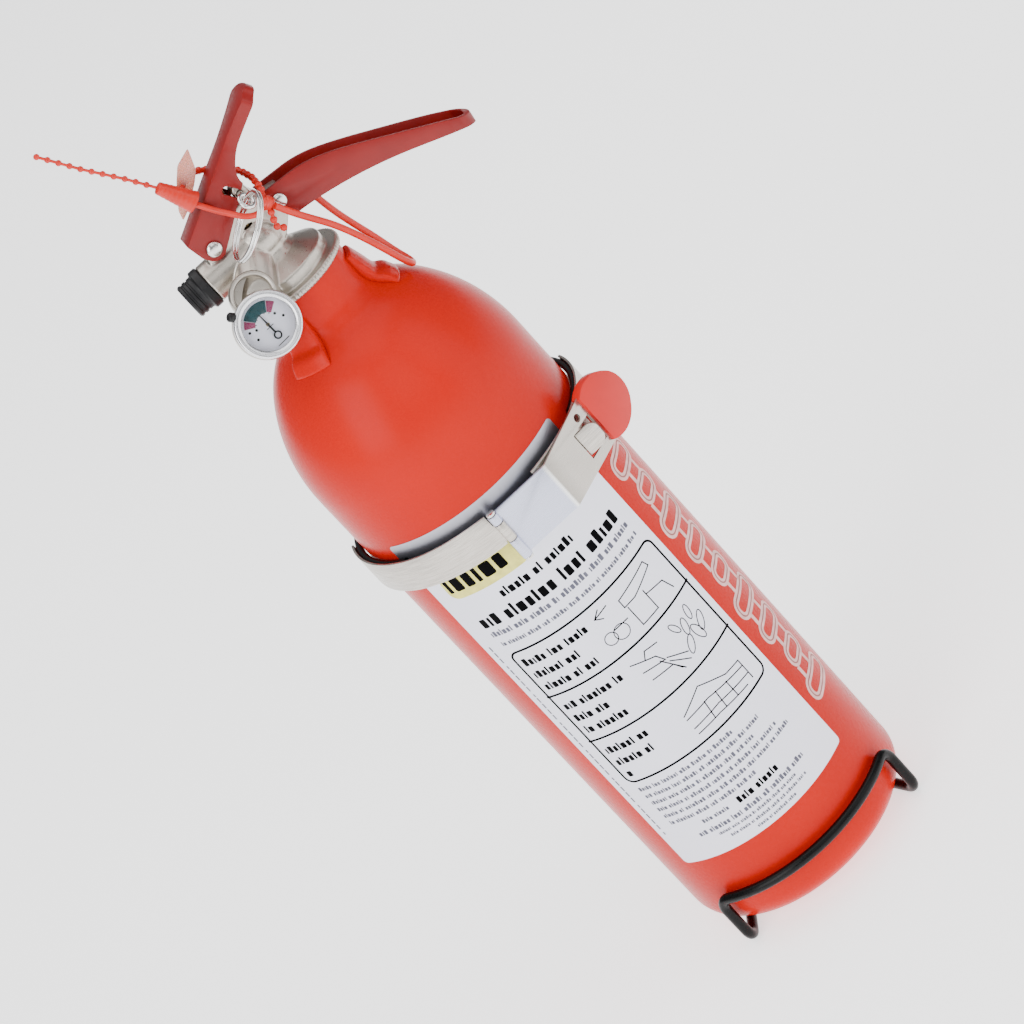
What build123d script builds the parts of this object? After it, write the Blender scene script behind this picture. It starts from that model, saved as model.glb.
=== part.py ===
from build123d import *

import math
import os

# A hand-held fire extinguisher clamped in a wire and strap bracket.
# Millimetres. +Z is up, the label faces -Y, the nozzle points to -X and the handles to +X.
# The origin is on the surface that the bracket's wire rails stand on, below the bottle's axis.

# ---- Driving dimensions: bottle ----
bottle_d = 105.0
bottle_wall = 1.6
bottle_h = 332.0            # to the neck's top, where the valve's flange sits
shoulder_drop = 76.0        # from the neck's top down to where the shoulder starts
shoulder_rise = 62.0        # height the shoulder would reach if it closed on the axis
base_corner = 12.0
base_t = 3.6                # the base's wall at its rim
base_dish = 2.0             # depth of the dished base
dish_r = 120.0
neck_d = 42.0
neck_wall = 5.0
neck_blend = 10.0
lug_drop = 5.0              # from the neck's top down to the ears' tops
lug_turns = (-40, 80, 200)  # degrees from the front
lug_half = 17               # degrees
o_ring_d = 1.8
o_ring_room = 0.1
label_t = 0.2
label_low = 42.0
label_turn = (-57.5, 41.5)  # degrees from the front
decal_t = 0.15
decal_low = 56.0
decal_turn = (46.5, 76.0)

# ---- Driving dimensions: bracket ----
rail_d = 4.6                # cradle wire
hoop_d = 3.0                # upper hoop wire
bottle_gap = 0.3            # between the bottle and what surrounds it
cradle_room = 1.2           # between the bottle and the cradle's front arc
cradle_height = 22.0        # of the front arc above the bottle's base
cradle_turn = 47.0          # degrees from the front to each front corner
rail_x = 16.0
rail_rise = 60.0            # of the rear rails above the bottle's base
wire_bend = 6.0
hoop_turn = 52.0            # degrees from the front to each end of the hoop
strap_t = 1.0
strap_w = 15.0
strap_drop = 27.5           # from the shoulder's start down to the strap's top
strap_start = 16.0          # degrees from the front to the right strap's front end
strap_back = 100.0          # degrees from the front to each strap's rear end
plate_t = 2.5
plate_w = 44.0
plate_low = 10.0
plate_over = 16.5           # the plate's top above the strap's
plate_corner = 8.0
bolt_hole_d = 5.5
bolt_dx = 18.0
bolt_low = 80.0
bolt_drop = 13.5            # from the strap's bottom down to the upper bolts

# ---- Driving dimensions: latch ----
latch_pin_d = 2.2
latch_pin_room = 0.1
latch_pin_x = -6.6
latch_under = 8.5           # the latch plate's foot below the strap's bottom
latch_inset = 1.0           # the latch plate's top below the strap's top
latch_gap = 0.473           # between the strap and the latch's slanted part
latch_bend = 35.0           # degrees
latch_reach = 42.0          # from the bend to the end of the metal
eye_inset = (1.1, 5.3)      # the strap's rolled eye, in from the strap's bottom and top
knuckle_gap = 0.35
tongue_len = 9.5
tongue_w = 11.0
tongue_under = 2.5          # the tongue's low edge below the strap's bottom
tongue_lean = 30.0          # degrees above the latch plate
tongue_root = 21.0          # from the bend, along the latch plate
slot_gap = 0.8
slot_ends = (1.6, 2.2)      # the slot past the tongue's root and tip
latch_hole_d = 3.4
grip_start = 32.0
grip_len = 22.0
grip_h = 26.8
grip_t = 4.6

# ---- Driving dimensions: valve, with heights above the neck's top ----
flange_r = 23.0
flange_t = 3.2
hex_across = 37.0
column_r = 8.6
hex_h = 4.6
thread_len = 16.0
outlet_z = 21.0
outlet_r = 8.3
outlet_end = 26.0
valve_bore = 5.0
outlet_bore = 4.0
head_w = 10.0
gland_r = 3.3
gland_z = (29.0, 39.6)
seat_z = (12.0, 15.0)
seat_hole_r = 3.0
running = 0.05              # radial clearance of shafts in their bores

# ---- Driving dimensions: levers ----
pivot = (-15.4, 32.5)
rivet_d = 5.0
rivet_head_d = 6.4
handle_rivet = (15.1, 29.0)
lever_slope = 29.0          # degrees
lever_top = 10.0
lever_tip = 63.0
lobe = 4.8                  # the cheeks' round end, about the pivot
lever_t = 1.6
lever_side_gap = 0.2
lever_stroke = 14.0         # degrees
grip_w = 16.5               # the lever's flared tip
waist_in = 0.8              # each side's waist, in from the cheeks' outer faces
handle_t = 1.5
handle_tip = 92.5
stem_d = 4.0
stem_gap = 0.35

# ---- Driving dimensions: safety pin and ring ----
pin_d = 2.8
pin_at = (6.0, 41.0)
pin_eye_out = 8.8           # the eye's middle beyond the lever's side
pin_tip_out = 3.2           # the tip beyond the lever's side
notch_room = 0.35           # round the pin in the lever's cheeks
eye_wire = 1.7
eye_hole_r = 2.2
ring_r = 13.4
ring_wire = 1.3
ring_coil_pitch = 1.25

# ---- Driving dimensions: gauge ----
gauge_side = 32.17          # degrees from the front, towards -X
gauge_out = 15.62           # from the neck's wall to the gauge's face
gauge_z = 4.5
gauge_tilt = 20.0
gauge_turn = 6.0
gauge_r = 13.2
gauge_depth = 8.0
bezel_t = 1.4
gauge_stem_r = 2.5
needle_drop = 5.4           # the pivot below the dial's middle
needle_len = 10.4

# ---- Driving dimensions: inside ----
dip_tube_d = 9.0
dip_tube_bore = 6.6
dip_tube_end = 12.0
ferrule_bore = 4.4
ferrule_drop = 9.0          # the ferrule's top below the neck's top
spring_wire = 0.8
spring_r = 3.2
spring_coils = 5
collar_drop = (4.4, 2.6)    # the stem's collar below the seat

bottle_r = bottle_d / 2
neck_r = neck_d / 2
neck_bore = neck_d - 2 * neck_wall
straight_top = bottle_h - shoulder_drop
lug_top = bottle_h - lug_drop
strap_top = straight_top - strap_drop
strap_bottom = strap_top - strap_w
plate_z = (plate_low, strap_top + plate_over)
bolt_z = (bolt_low, strap_bottom - bolt_drop)
latch_bottom = strap_bottom - latch_under
latch_top = strap_top - latch_inset
eye_z = (strap_bottom + eye_inset[0], strap_top - eye_inset[1])
tongue_z = (strap_bottom - tongue_under, strap_bottom - tongue_under + tongue_w)
base_z = rail_d + bottle_gap            # the bottle's base above the origin
strap_in = bottle_r + bottle_gap + hoop_d
strap_out = strap_in + strap_t
lever_in_w = head_w + 2 * lever_side_gap
lever_w = lever_in_w + 2 * lever_t
handle_w = head_w + 2 * handle_t
lift = Pos(0, 0, base_z)
on_neck = Pos(0, 0, base_z + bottle_h)


def around(r, degrees, z=0.0):
    """A point at radius r, turned from the front (-Y) towards +X."""
    a = math.radians(degrees)
    return (r * math.sin(a), -r * math.cos(a), z)


def ring_solid(r_out, r_in, z_low, z_high):
    """A plain tube round the Z axis."""
    return disc(r_out, z_low, z_high) - disc(r_in, z_low, z_high)


def disc(r, z_low, z_high, x=0.0, y=0.0):
    """A cylinder standing on z_low."""
    return Pos(x, y, z_low) * Cylinder(r, z_high - z_low, align=(Align.CENTER, Align.CENTER, Align.MIN))


def cross_bar(r, y_low, y_high, x, z):
    """A cylinder lying along Y."""
    bar = Cylinder(r, y_high - y_low, align=(Align.CENTER, Align.CENTER, Align.MIN))
    return Pos(x, y_low, z) * Rot(-90, 0, 0) * bar


def sector(r_out, r_in, z_low, z_high, start, end):
    """A tube's wall between two angles from the front."""
    wall = ring_solid(r_out, r_in, z_low, z_high)
    reach = 2 * r_out
    steps = 8
    rim = [around(reach, start + (end - start) * i / steps) for i in range(steps + 1)]
    wedge = extrude(make_face(Polyline((0, 0), *[(p[0], p[1]) for p in rim], close=True)), amount=z_high + 1)
    return wall & wedge


def tube(path, diameter):
    """A round bar along a path."""
    return sweep(Plane(path @ 0, z_dir=path % 0) * Circle(diameter / 2), path=path)


# ---------------------------------------------------------------- bottle
def bottle_solid(r, base, corner, rise, neck):
    """The turned shape of the bottle: rounded base, straight wall, two-arc shoulder and neck."""
    turn = math.degrees(math.acos(neck / r))
    meet = straight_top + rise * math.sin(math.radians(turn))
    half_way = math.radians(turn * 0.6)
    shoulder = (r * math.cos(half_way), straight_top + rise * math.sin(half_way))
    lower_arc = TangentArc((r, straight_top), shoulder, tangent=(0, 1))
    upper_arc = TangentArc(shoulder, (neck, meet), tangent=lower_arc % 1)
    outline = [
        Line((0, base), (r - corner, base)),
        CenterArc((r - corner, base + corner), corner, -90, 90),
        Line((r, base + corner), (r, straight_top)),
        lower_arc,
        upper_arc,
        Line((neck, meet), (neck, bottle_h)),
        Line((neck, bottle_h), (0, bottle_h)),
        Line((0, bottle_h), (0, base)),
    ]
    body = revolve(Plane.XZ * make_face(outline), Axis.Z)
    join = [e for e in body.edges().filter_by(GeomType.CIRCLE) if abs(e.center().Z - meet) < 0.01]
    return fillet(join, neck_blend)


def make_bottle():
    outer = bottle_solid(bottle_r, 0, base_corner, shoulder_rise, neck_r)
    dish = Pos(0, 0, base_dish - dish_r) * Sphere(dish_r)
    inner = bottle_solid(
        bottle_r - bottle_wall,
        base_t,
        base_corner - bottle_wall,
        shoulder_rise - bottle_wall,
        neck_bore / 2,
    )
    return outer - dish, inner


bottle_outer, bottle_inner = make_bottle()
o_ring_seat = disc(neck_bore / 2 + o_ring_d + o_ring_room, bottle_h - o_ring_d, bottle_h)
bottle_shell = bottle_outer - bottle_inner - o_ring_seat


def make_lugs():
    """Three curled ears on the neck, each a flared leaf."""
    outline = [(2.6, 0), (4.6, -7), (6.0, -13.5), (10.5, -17.5), (12.0, -20.4), (9.0, -23), (0, -23), (0, 0)]
    spots = [(neck_r + out, lug_top + up) for out, up in outline]
    leaf = make_face(
        [
            Polyline((neck_r, lug_top), *spots[:3]),
            RadiusArc(spots[2], spots[3], 5.5),
            Polyline(*spots[3:]),
        ]
    )
    whole = revolve(Plane.XZ * leaf, Axis.Z)
    ears = []
    for angle in lug_turns:
        wedge = sector(neck_r + 20, neck_r - 1, lug_top - 27, lug_top + 3, angle - lug_half, angle + lug_half)
        ears.append((whole & wedge) - bottle_outer)
    return ears


def skin(thickness, z_low, z_high, turn):
    """A foil on the bottle's wall."""
    return sector(bottle_r + thickness, bottle_r, z_low, z_high, *turn)


# ---------------------------------------------------------------- bracket
def cradle_path():
    """The cradle's wire: up the back, under the base, up each front corner and round the front."""
    r = bottle_r + cradle_room + rail_d / 2
    back_y = strap_in - rail_d / 2
    top = base_z + cradle_height
    corner = around(r, -cradle_turn)
    ahead = around(1, 90 - cradle_turn)
    leg = (corner[0] - (wire_bend + 0.5) * ahead[0], corner[1] - (wire_bend + 0.5) * ahead[1])
    low = rail_d / 2
    left = [
        (-rail_x, back_y, base_z + rail_rise),
        (-rail_x, back_y, low),
        (leg[0], leg[1], low),
        (leg[0], leg[1], top),
        (corner[0], corner[1], top),
    ]
    right = [(-x, y, z) for x, y, z in reversed(left)]
    return Wire(
        [
            *FilletPolyline(*left, radius=wire_bend).edges(),
            *ThreePointArc(left[-1], (0, -r, top), right[0]).edges(),
            *FilletPolyline(*right, radius=wire_bend).edges(),
        ]
    )


def make_hoop():
    """The upper hoop, open at the front, with its ends inside the straps."""
    r = bottle_r + bottle_gap + hoop_d / 2
    z = strap_top - hoop_d / 2 - 0.4
    path = Wire([ThreePointArc(around(r, -hoop_turn, z), (0, r, z), around(r, hoop_turn, z))])
    return tube(path, hoop_d)


def make_back_plate():
    low, high = plate_z
    middle = (low + high) / 2
    outline = RectangleRounded(plate_w, high - low, plate_corner)
    for x in (-bolt_dx / 2, bolt_dx / 2):
        for z in bolt_z:
            outline -= Pos(x, z - middle) * Circle(bolt_hole_d / 2)
    face = Plane((0, strap_in, middle), x_dir=(1, 0, 0), z_dir=(0, -1, 0)) * outline
    return extrude(face, amount=-plate_t)


pin_radius = strap_out + latch_pin_d / 2 + latch_pin_room
latch_pin_y = -math.sqrt(pin_radius**2 - latch_pin_x**2)
eye_r = latch_pin_d / 2 + latch_pin_room + strap_t
latch_face_y = latch_pin_y + eye_r
bend_cos = math.cos(math.radians(latch_bend))
bend_sin = math.sin(math.radians(latch_bend))
latch_normal = strap_out + latch_gap        # from the bottle's axis to the slanted part's inner face
latch_bend_x = (latch_normal + latch_face_y * bend_cos) / bend_sin


def on_latch(along, out):
    """A plan point on the latch's slanted part, along it from the bend and outwards from its inner face."""
    x = latch_bend_x + along * bend_cos + out * bend_sin
    y = latch_face_y + along * bend_sin - out * bend_cos
    return (x, y)


def make_strap_left():
    """The left strap half, with its rolled eye round the latch pin."""
    end = math.degrees(math.asin(latch_pin_x / pin_radius))
    band = sector(strap_out, strap_in, strap_bottom, strap_top, -strap_back, end)
    clear_x = latch_pin_x - eye_r - knuckle_gap
    for low, high in ((strap_bottom - 1, eye_z[0]), (eye_z[1], strap_top + 1)):
        band -= Pos(clear_x + 10, -strap_out, (low + high) / 2) * Box(20, 20, high - low)
    eye = disc(eye_r, eye_z[0], eye_z[1], latch_pin_x, latch_pin_y)
    hole = disc(eye_r - strap_t, eye_z[0] - 1, eye_z[1] + 1, latch_pin_x, latch_pin_y)
    return band + eye - hole


def make_strap_right():
    """The right strap half, which starts under the latch plate."""
    return sector(strap_out, strap_in, strap_bottom, strap_top, strap_start, strap_back)


def make_tongue():
    """The keeper tongue on the right strap half, leaning out through the latch's slot."""
    low, high = tongue_z
    root = on_latch(tongue_root, strap_out - 0.2 - latch_normal)
    lean = math.radians(tongue_lean)
    ahead = (
        math.cos(lean) * bend_cos + math.sin(lean) * bend_sin,
        math.cos(lean) * bend_sin - math.sin(lean) * bend_cos,
    )
    plane = Plane(
        (root[0], root[1], (low + high) / 2),
        x_dir=(ahead[0], ahead[1], 0),
        z_dir=(ahead[1], -ahead[0], 0),
    )
    height = high - low
    shape = Pos(tongue_len / 2, 0) * Rectangle(tongue_len, height)
    shape = fillet(shape.vertices().group_by(Axis.X)[-1], height * 0.36)
    tongue = extrude(plane * shape, amount=strap_t / 2, both=True)
    inside = disc(strap_out, low - 1, high + 1)
    return tongue - inside


def make_latch_plate():
    """The latch lever: two knuckles on the pin, a flat, a bend and a slotted end."""
    outer_bend = (latch_bend_x + strap_t * math.tan(math.radians(latch_bend / 2)), latch_face_y - strap_t)
    plan = [
        (latch_pin_x, latch_face_y),
        (latch_bend_x, latch_face_y),
        on_latch(latch_reach, 0),
        on_latch(latch_reach, strap_t),
        outer_bend,
        (latch_pin_x, latch_face_y - strap_t),
    ]
    tall = latch_top - latch_bottom
    plate = Pos(0, 0, latch_bottom) * extrude(make_face(Polyline(*plan, close=True)), amount=tall + 4)
    end_x = on_latch(latch_reach, 0)[0] + 2
    side = Polyline(
        (latch_pin_x - 1, latch_bottom),
        (latch_bend_x, latch_bottom),
        (end_x, latch_bottom + 1.5),
        (end_x, latch_top + 4),
        (latch_bend_x, latch_top),
        (latch_pin_x - 1, latch_top),
        close=True,
    )
    plate = plate & extrude(Plane.XZ * make_face(side), amount=100)
    for low, high in ((latch_bottom, eye_z[0] - knuckle_gap), (eye_z[1] + knuckle_gap, latch_top)):
        plate += disc(eye_r, low, high, latch_pin_x, latch_pin_y)
    plate -= disc(eye_r - strap_t, latch_bottom - 1, latch_top + 1, latch_pin_x, latch_pin_y)
    gap_low, gap_high = eye_z[0] - knuckle_gap, eye_z[1] + knuckle_gap
    plate -= disc(eye_r + knuckle_gap, gap_low, gap_high, latch_pin_x, latch_pin_y)
    slot_low = tongue_z[0] - slot_gap
    slot_high = tongue_z[1] + slot_gap
    slot_start = tongue_root - slot_ends[0]
    slot_end = tongue_root + tongue_len * math.cos(math.radians(tongue_lean)) + slot_ends[1]
    slot = Rectangle(slot_end - slot_start, slot_high - slot_low)
    middle = on_latch((slot_start + slot_end) / 2, 0)
    slot_plane = Plane(
        (middle[0], middle[1], (slot_low + slot_high) / 2),
        x_dir=(bend_cos, bend_sin, 0),
        z_dir=(bend_sin, -bend_cos, 0),
    )
    plate -= extrude(slot_plane * slot, amount=4, both=True)
    hole = on_latch(tongue_root + 5.5, 0)
    hole_plane = Plane((hole[0], hole[1], slot_high + 3.0), x_dir=slot_plane.x_dir, z_dir=slot_plane.z_dir)
    plate -= extrude(hole_plane * Circle(latch_hole_d / 2), amount=4, both=True)
    return plate


def make_latch_grip():
    """The dipped grip on the latch's end, a rounded tab."""
    middle = (latch_bottom + latch_top) / 2 + 2.6
    centre = on_latch(grip_start, strap_t / 2)
    plane = Plane(
        (centre[0], centre[1], middle),
        x_dir=(bend_cos, bend_sin, 0),
        z_dir=(bend_sin, -bend_cos, 0),
    )
    half = grip_h / 2
    outline = make_face(
        [
            Line((0, -half * 0.84), (0, half * 0.84)),
            ThreePointArc((0, half * 0.84), (grip_len * 0.42, half), (grip_len * 0.82, half * 0.66)),
            ThreePointArc((grip_len * 0.82, half * 0.66), (grip_len, 0), (grip_len * 0.82, -half * 0.66)),
            ThreePointArc((grip_len * 0.82, -half * 0.66), (grip_len * 0.42, -half), (0, -half * 0.84)),
        ]
    )
    grip = extrude(plane * outline, amount=grip_t / 2, both=True)
    return grip - make_latch_plate()


def make_latch_pin():
    stem = disc(latch_pin_d / 2, latch_bottom - 0.2, latch_top + 0.2, latch_pin_x, latch_pin_y)
    for low in (latch_bottom - 1.4, latch_top + 0.2):
        stem += disc(latch_pin_d / 2 + 0.8, low, low + 1.2, latch_pin_x, latch_pin_y)
    return stem


# ---------------------------------------------------------------- valve
gauge_at = around(neck_r + gauge_out, -gauge_side, gauge_z)
gauge_plane = Plane(
    gauge_at,
    x_dir=(math.cos(math.radians(gauge_turn)), math.sin(math.radians(gauge_turn)), 0),
    z_dir=(
        math.sin(math.radians(gauge_turn)) * math.cos(math.radians(gauge_tilt)),
        -math.cos(math.radians(gauge_turn)) * math.cos(math.radians(gauge_tilt)),
        math.sin(math.radians(gauge_tilt)),
    ),
)


def gauge_disc(r, back, front):
    """A cylinder on the gauge's axis, from back to front of its face plane."""
    bar = Cylinder(r, front - back, align=(Align.CENTER, Align.CENTER, Align.MIN))
    return gauge_plane * Pos(0, 0, back) * bar


def bar_between(a, b, r):
    """A cylinder from one point to another."""
    direction = Vector(*b) - Vector(*a)
    bar = Cylinder(r, direction.length, align=(Align.CENTER, Align.CENTER, Align.MIN))
    return Plane(a, z_dir=direction) * bar


def make_valve_body():
    hex_r = hex_across / 2
    hex_top = flange_t + hex_h
    skirt = make_face(
        Polyline(
            (0, 0),
            (flange_r - 0.5, 0),
            (flange_r, 0.6),
            (flange_r, flange_t - 0.6),
            (flange_r - 0.6, flange_t),
            (hex_r, flange_t),
            (hex_r, hex_top),
            (column_r + 1.5, hex_top + 4.9),
            (column_r, hex_top + 7.4),
            (column_r, outlet_z + 4),
            (0, outlet_z + 4),
            close=True,
        )
    )
    body = revolve(Plane.XZ * skirt, Axis.Z)
    hexagon = Pos(0, 0, flange_t) * extrude(RegularPolygon(hex_r, 6, major_radius=False), amount=30)
    body &= disc(flange_r + 1, -1, flange_t) + hexagon
    threads = disc(neck_bore / 2, -thread_len, 0)
    barrel = Pos(-outlet_end, 0, outlet_z) * Rot(0, 90, 0) * Cylinder(
        outlet_r, outlet_end + 2, align=(Align.CENTER, Align.CENTER, Align.MIN)
    )
    px, pz = pivot
    hx, hz = handle_rivet
    sx, sz = pin_at
    blade = Polyline(
        (px - 4.5, outlet_z),
        (px - 5.2, pz + 1.5),
        (px - 1.5, pz + 5.6),
        (px + 4.0, pz + 6.0),
        (sx - 2.6, sz - 2.4),
        (sx - 2.4, sz + 2.0),
        (sx - 1.0, sz + 4.0),
        (sx + 1.4, sz + 4.0),
        (sx + 2.9, sz + 2.6),
        (sx + 3.8, sz - 3.0),
        (sx + 5.5, sz - 6.4),
        (hx + 4.0, hz + 4.2),
        (hx + 4.6, hz - 2.0),
        (hx + 1.0, hz - 5.6),
        (column_r, outlet_z - 5),
        (0, outlet_z - 7),
        close=True,
    )
    head = extrude(Plane.XZ * make_face(blade), amount=head_w / 2, both=True)
    shoulder = Pos(0, 0, outlet_z) * Sphere(outlet_r + 1.2)
    back = gauge_plane.origin - gauge_plane.z_dir * (gauge_depth + 2)
    boss = bar_between((-7.0, -2.0, outlet_z - 3.5), (back.X, back.Y, back.Z), 8.8)
    boss -= gauge_disc(30, -gauge_depth, 30)
    cup = gauge_disc(gauge_r, -gauge_depth - 3.5, -gauge_depth + 3.2)
    cup -= gauge_disc(gauge_r - bezel_t, -gauge_depth, 5)
    neck_room = disc(neck_r + 0.5, -30, 0) + Pos(0, 0, -lug_drop - 13.5) * Cone(
        neck_r + 6.5, neck_r + 3.0, 14.0, align=(Align.CENTER, Align.CENTER, Align.MIN)
    )
    boss -= neck_room
    cup -= neck_room
    body = body + threads + barrel + head + shoulder + boss + cup
    body -= gauge_disc(gauge_r - bezel_t, -gauge_depth, 20)
    body -= disc(valve_bore, -thread_len - 1, seat_z[0])
    body -= disc(seat_hole_r, seat_z[0] - 1, seat_z[1] + 1)
    body -= disc(valve_bore, seat_z[1], gland_z[0] + 1)
    body -= disc(gland_r, gland_z[0], gland_z[1] + 10)
    port = Pos(-outlet_end - 1, 0, outlet_z) * Rot(0, 90, 0) * Cylinder(
        outlet_bore, outlet_end + 1, align=(Align.CENTER, Align.CENTER, Align.MIN)
    )
    body -= port
    body -= cross_bar(rivet_d / 2, -head_w, head_w, px, pz)
    body -= cross_bar(rivet_d / 2, -head_w, head_w, hx, hz)
    body -= cross_bar(pin_d / 2 + running, -head_w, head_w, *pin_at)
    body -= gauge_disc(gauge_stem_r, -gauge_depth - 12, 0)
    return body


def make_nozzle():
    """The black nozzle: a collar against the barrel, a spigot inside it and a narrower snout."""
    profile = make_face(
        Polyline(
            (2.2, -14),
            (outlet_bore, -14),
            (outlet_bore, 0),
            (8.7, 0),
            (8.7, 3.6),
            (7.4, 4.2),
            (7.4, 10.0),
            (6.8, 10.6),
            (3.4, 10.6),
            (2.2, 4.0),
            close=True,
        )
    )
    turned = revolve(Plane.XZ * profile, Axis.Z)
    return Pos(-outlet_end, 0, outlet_z) * Rot(0, -90, 0) * turned


def make_gland():
    """The gland nut that guides the stem in the valve's head."""
    low, high = gland_z
    return disc(gland_r, low, high) - disc(stem_d / 2 + running, low - 1, high + 1)


def make_o_ring():
    """The ring that seals the neck, in the bottle's counterbore."""
    middle_r = (neck_bore + o_ring_d + o_ring_room) / 2
    return Pos(0, 0, -o_ring_d / 2) * Torus(middle_r, o_ring_d / 2)


lever_plane = Plane(
    (pivot[0], 0, pivot[1]),
    x_dir=(math.cos(math.radians(lever_slope)), 0, math.sin(math.radians(lever_slope))),
    z_dir=(0, -1, 0),
)


def lever_outline(inset):
    """The lever's side view in its own plane, shrunk at the top and tip for the hollow."""
    top = lever_top - inset
    tip = lever_tip - inset
    low = 0 if not inset else -12
    return make_face(
        [
            Line((-lobe, low), (-lobe, 3)),
            Line((-lobe, 3), (-2.5, top)),
            Line((-2.5, top), (tip - 3, top)),
            ThreePointArc((tip - 3, top), (tip - 0.9, top - 1.0), (tip, top - 3)),
            Line((tip, top - 3), (tip, 5.4 + low)),
            Line((tip, 5.4 + low), (41, 4.9 + low)),
            Spline(
                (41, 4.9 + low), (33.5, 3.2 + low), (27.5, -2.0 + low),
                tangents=[(-1, -0.1), (-0.35, -1)],
            ),
            Line((27.5, -2.0 + low), (0, -lobe + low)),
            ThreePointArc((0, -lobe + low), (-lobe * 0.7071, -lobe * 0.7071 + low), (-lobe, low)),
        ]
    )


def lever_plan(inset):
    """The lever's top view: straight at the pivot, a waist, then a flared rounded tip."""
    w, mid, end = lever_w / 2 - inset, lever_w / 2 - waist_in - inset, grip_w / 2 - inset
    tip = lever_tip - inset
    upper = [
        Line((-10, w), (22, w)),
        Spline((22, w), (38, mid), (52, end - 0.6), tangents=[(1, 0), (1, 0.2)]),
        Spline((52, end - 0.6), (58, end), (tip - 2.5, end - 2.6), (tip, 0), tangents=[(1, 0.2), (0, -1)]),
    ]
    lower = [mirror(e, about=Plane.XZ) for e in upper]
    return make_face([*upper, *lower, Line((-10, w), (-10, -w))])


def make_squeeze_lever():
    """The upper lever: a channel open below, with a waist and a flared tip."""
    side = extrude(lever_plane * lever_outline(0), amount=12, both=True)
    top_plane = Plane((pivot[0], 0, pivot[1]), x_dir=lever_plane.x_dir, z_dir=lever_plane.y_dir)
    solid = side & extrude(top_plane * lever_plan(0), amount=20, both=True)
    side_in = extrude(lever_plane * lever_outline(lever_t), amount=12, both=True)
    solid -= side_in & extrude(top_plane * lever_plan(lever_t), amount=30, both=True)
    solid -= cross_bar(rivet_d / 2 + running, -12, 12, *pivot)
    dx, dz = pin_at[0] - pivot[0], pin_at[1] - pivot[1]
    reach = math.hypot(dx, dz)
    start = math.degrees(math.atan2(dz, dx)) - lever_slope
    sweep_arc = CenterArc((0, 0), reach, start, lever_stroke + 1.0)
    notch = extrude(lever_plane * SlotArc(sweep_arc, pin_d + 2 * notch_room), amount=12, both=True)
    return solid - notch


def handle_outline(inset):
    """The carry handle's side view. The hollow is open at the top, so it rises past it."""
    rise = 20 if inset else 0
    tip = handle_tip - inset
    over = [(x, z + rise) for x, z in ((26, 34.4), (43, 29.0), (64, 17.8), (81.5, 8.0), (tip, 1.6))]
    under = [(tip - 0.9, -2.4), (80, 2.3), (63, 9.2), (44, 15.3), (31, 18.4), (16.4, 20.6)]
    under = [(x, z + inset) for x, z in under]
    return make_face(
        [
            Line((11.2, 35.8 + rise), over[0]),
            Spline(*over, tangents=[(1, -0.12), (1, -0.55)]),
            Line(over[-1], under[0]),
            Spline(*under, tangents=[(-1, 0.4), (-1, 0.1)]),
            Line(under[-1], (11.2, 35.8 + rise)),
        ]
    )


def handle_plan(inset):
    w, tip = handle_w / 2 - inset, handle_tip - inset
    bulge = w + 0.7
    turn = (tip - bulge * 0.8, bulge - 0.4)
    upper = [
        Line((5, w), (40, w)),
        Spline((40, w), (70, bulge), turn, tangents=[(1, 0), (1, -0.1)]),
        Spline(turn, (tip - 1.6, bulge * 0.62), (tip, 0), tangents=[(1, -0.1), (0, -1)]),
    ]
    lower = [mirror(e, about=Plane.XZ) for e in upper]
    return make_face([*upper, *lower, Line((5, w), (5, -w))])


def make_carry_handle():
    """The lower handle: a channel open above, riveted to the valve's head."""
    solid = extrude(Plane.XZ * handle_outline(0), amount=12, both=True)
    solid &= extrude(handle_plan(0), amount=80, both=True)
    hollow = extrude(Plane.XZ * handle_outline(handle_t), amount=12, both=True)
    hollow &= extrude(handle_plan(handle_t), amount=80, both=True)
    solid -= hollow
    solid -= Pos(13, 0, 28) * Box(8, head_w, 30)
    solid -= cross_bar(rivet_d / 2, -12, 12, *handle_rivet)
    return solid


def make_rivet(at, half_width, head_gap):
    """A rivet lying along Y, with a domed head past each side."""
    x, z = at
    face = half_width + head_gap
    body = cross_bar(rivet_d / 2, -face, face, x, z)
    dome = Sphere(4.2) & Pos(0, 0, 5) * Box(20, 20, 10)
    dome = Pos(0, 0, -2.6) * dome
    dome = dome & Cylinder(rivet_head_d / 2, 10, align=(Align.CENTER, Align.CENTER, Align.MIN))
    for side in (1, -1):
        body += Pos(x, side * face, z) * Rot(-90 * side, 0, 0) * dome
    return body


def make_stem():
    """The valve stem: a domed rod with a collar under the seat and a tail inside the spring."""
    slope = math.radians(lever_slope)
    under = lever_top - lever_t
    web = pivot[1] + (under + -pivot[0] * math.sin(slope)) / math.cos(slope)
    crown = web - (stem_d / 2 + stem_gap) / math.cos(slope)
    rod = disc(stem_d / 2, 2.0, crown) + Pos(0, 0, crown) * Sphere(stem_d / 2)
    collar = disc(3.8, seat_z[0] - collar_drop[0], seat_z[0] - collar_drop[1])
    return rod + collar


def make_stem_seal():
    low = seat_z[0] - collar_drop[1]
    return disc(4.2, low, seat_z[0] - 0.02) - disc(stem_d / 2, low - 1, seat_z[0] + 1)


spring_low = -ferrule_drop
spring_high = seat_z[0] - collar_drop[0]


def make_spring():
    """The return spring, a coil between the dip tube's end and the stem's collar."""
    height = spring_high - spring_low - spring_wire
    coil = Helix(height / spring_coils, height, spring_r, center=(0, 0, spring_low + spring_wire / 2))
    return sweep(Plane(coil @ 0, z_dir=coil % 0) * Circle(spring_wire / 2), path=coil, is_frenet=True)


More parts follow.
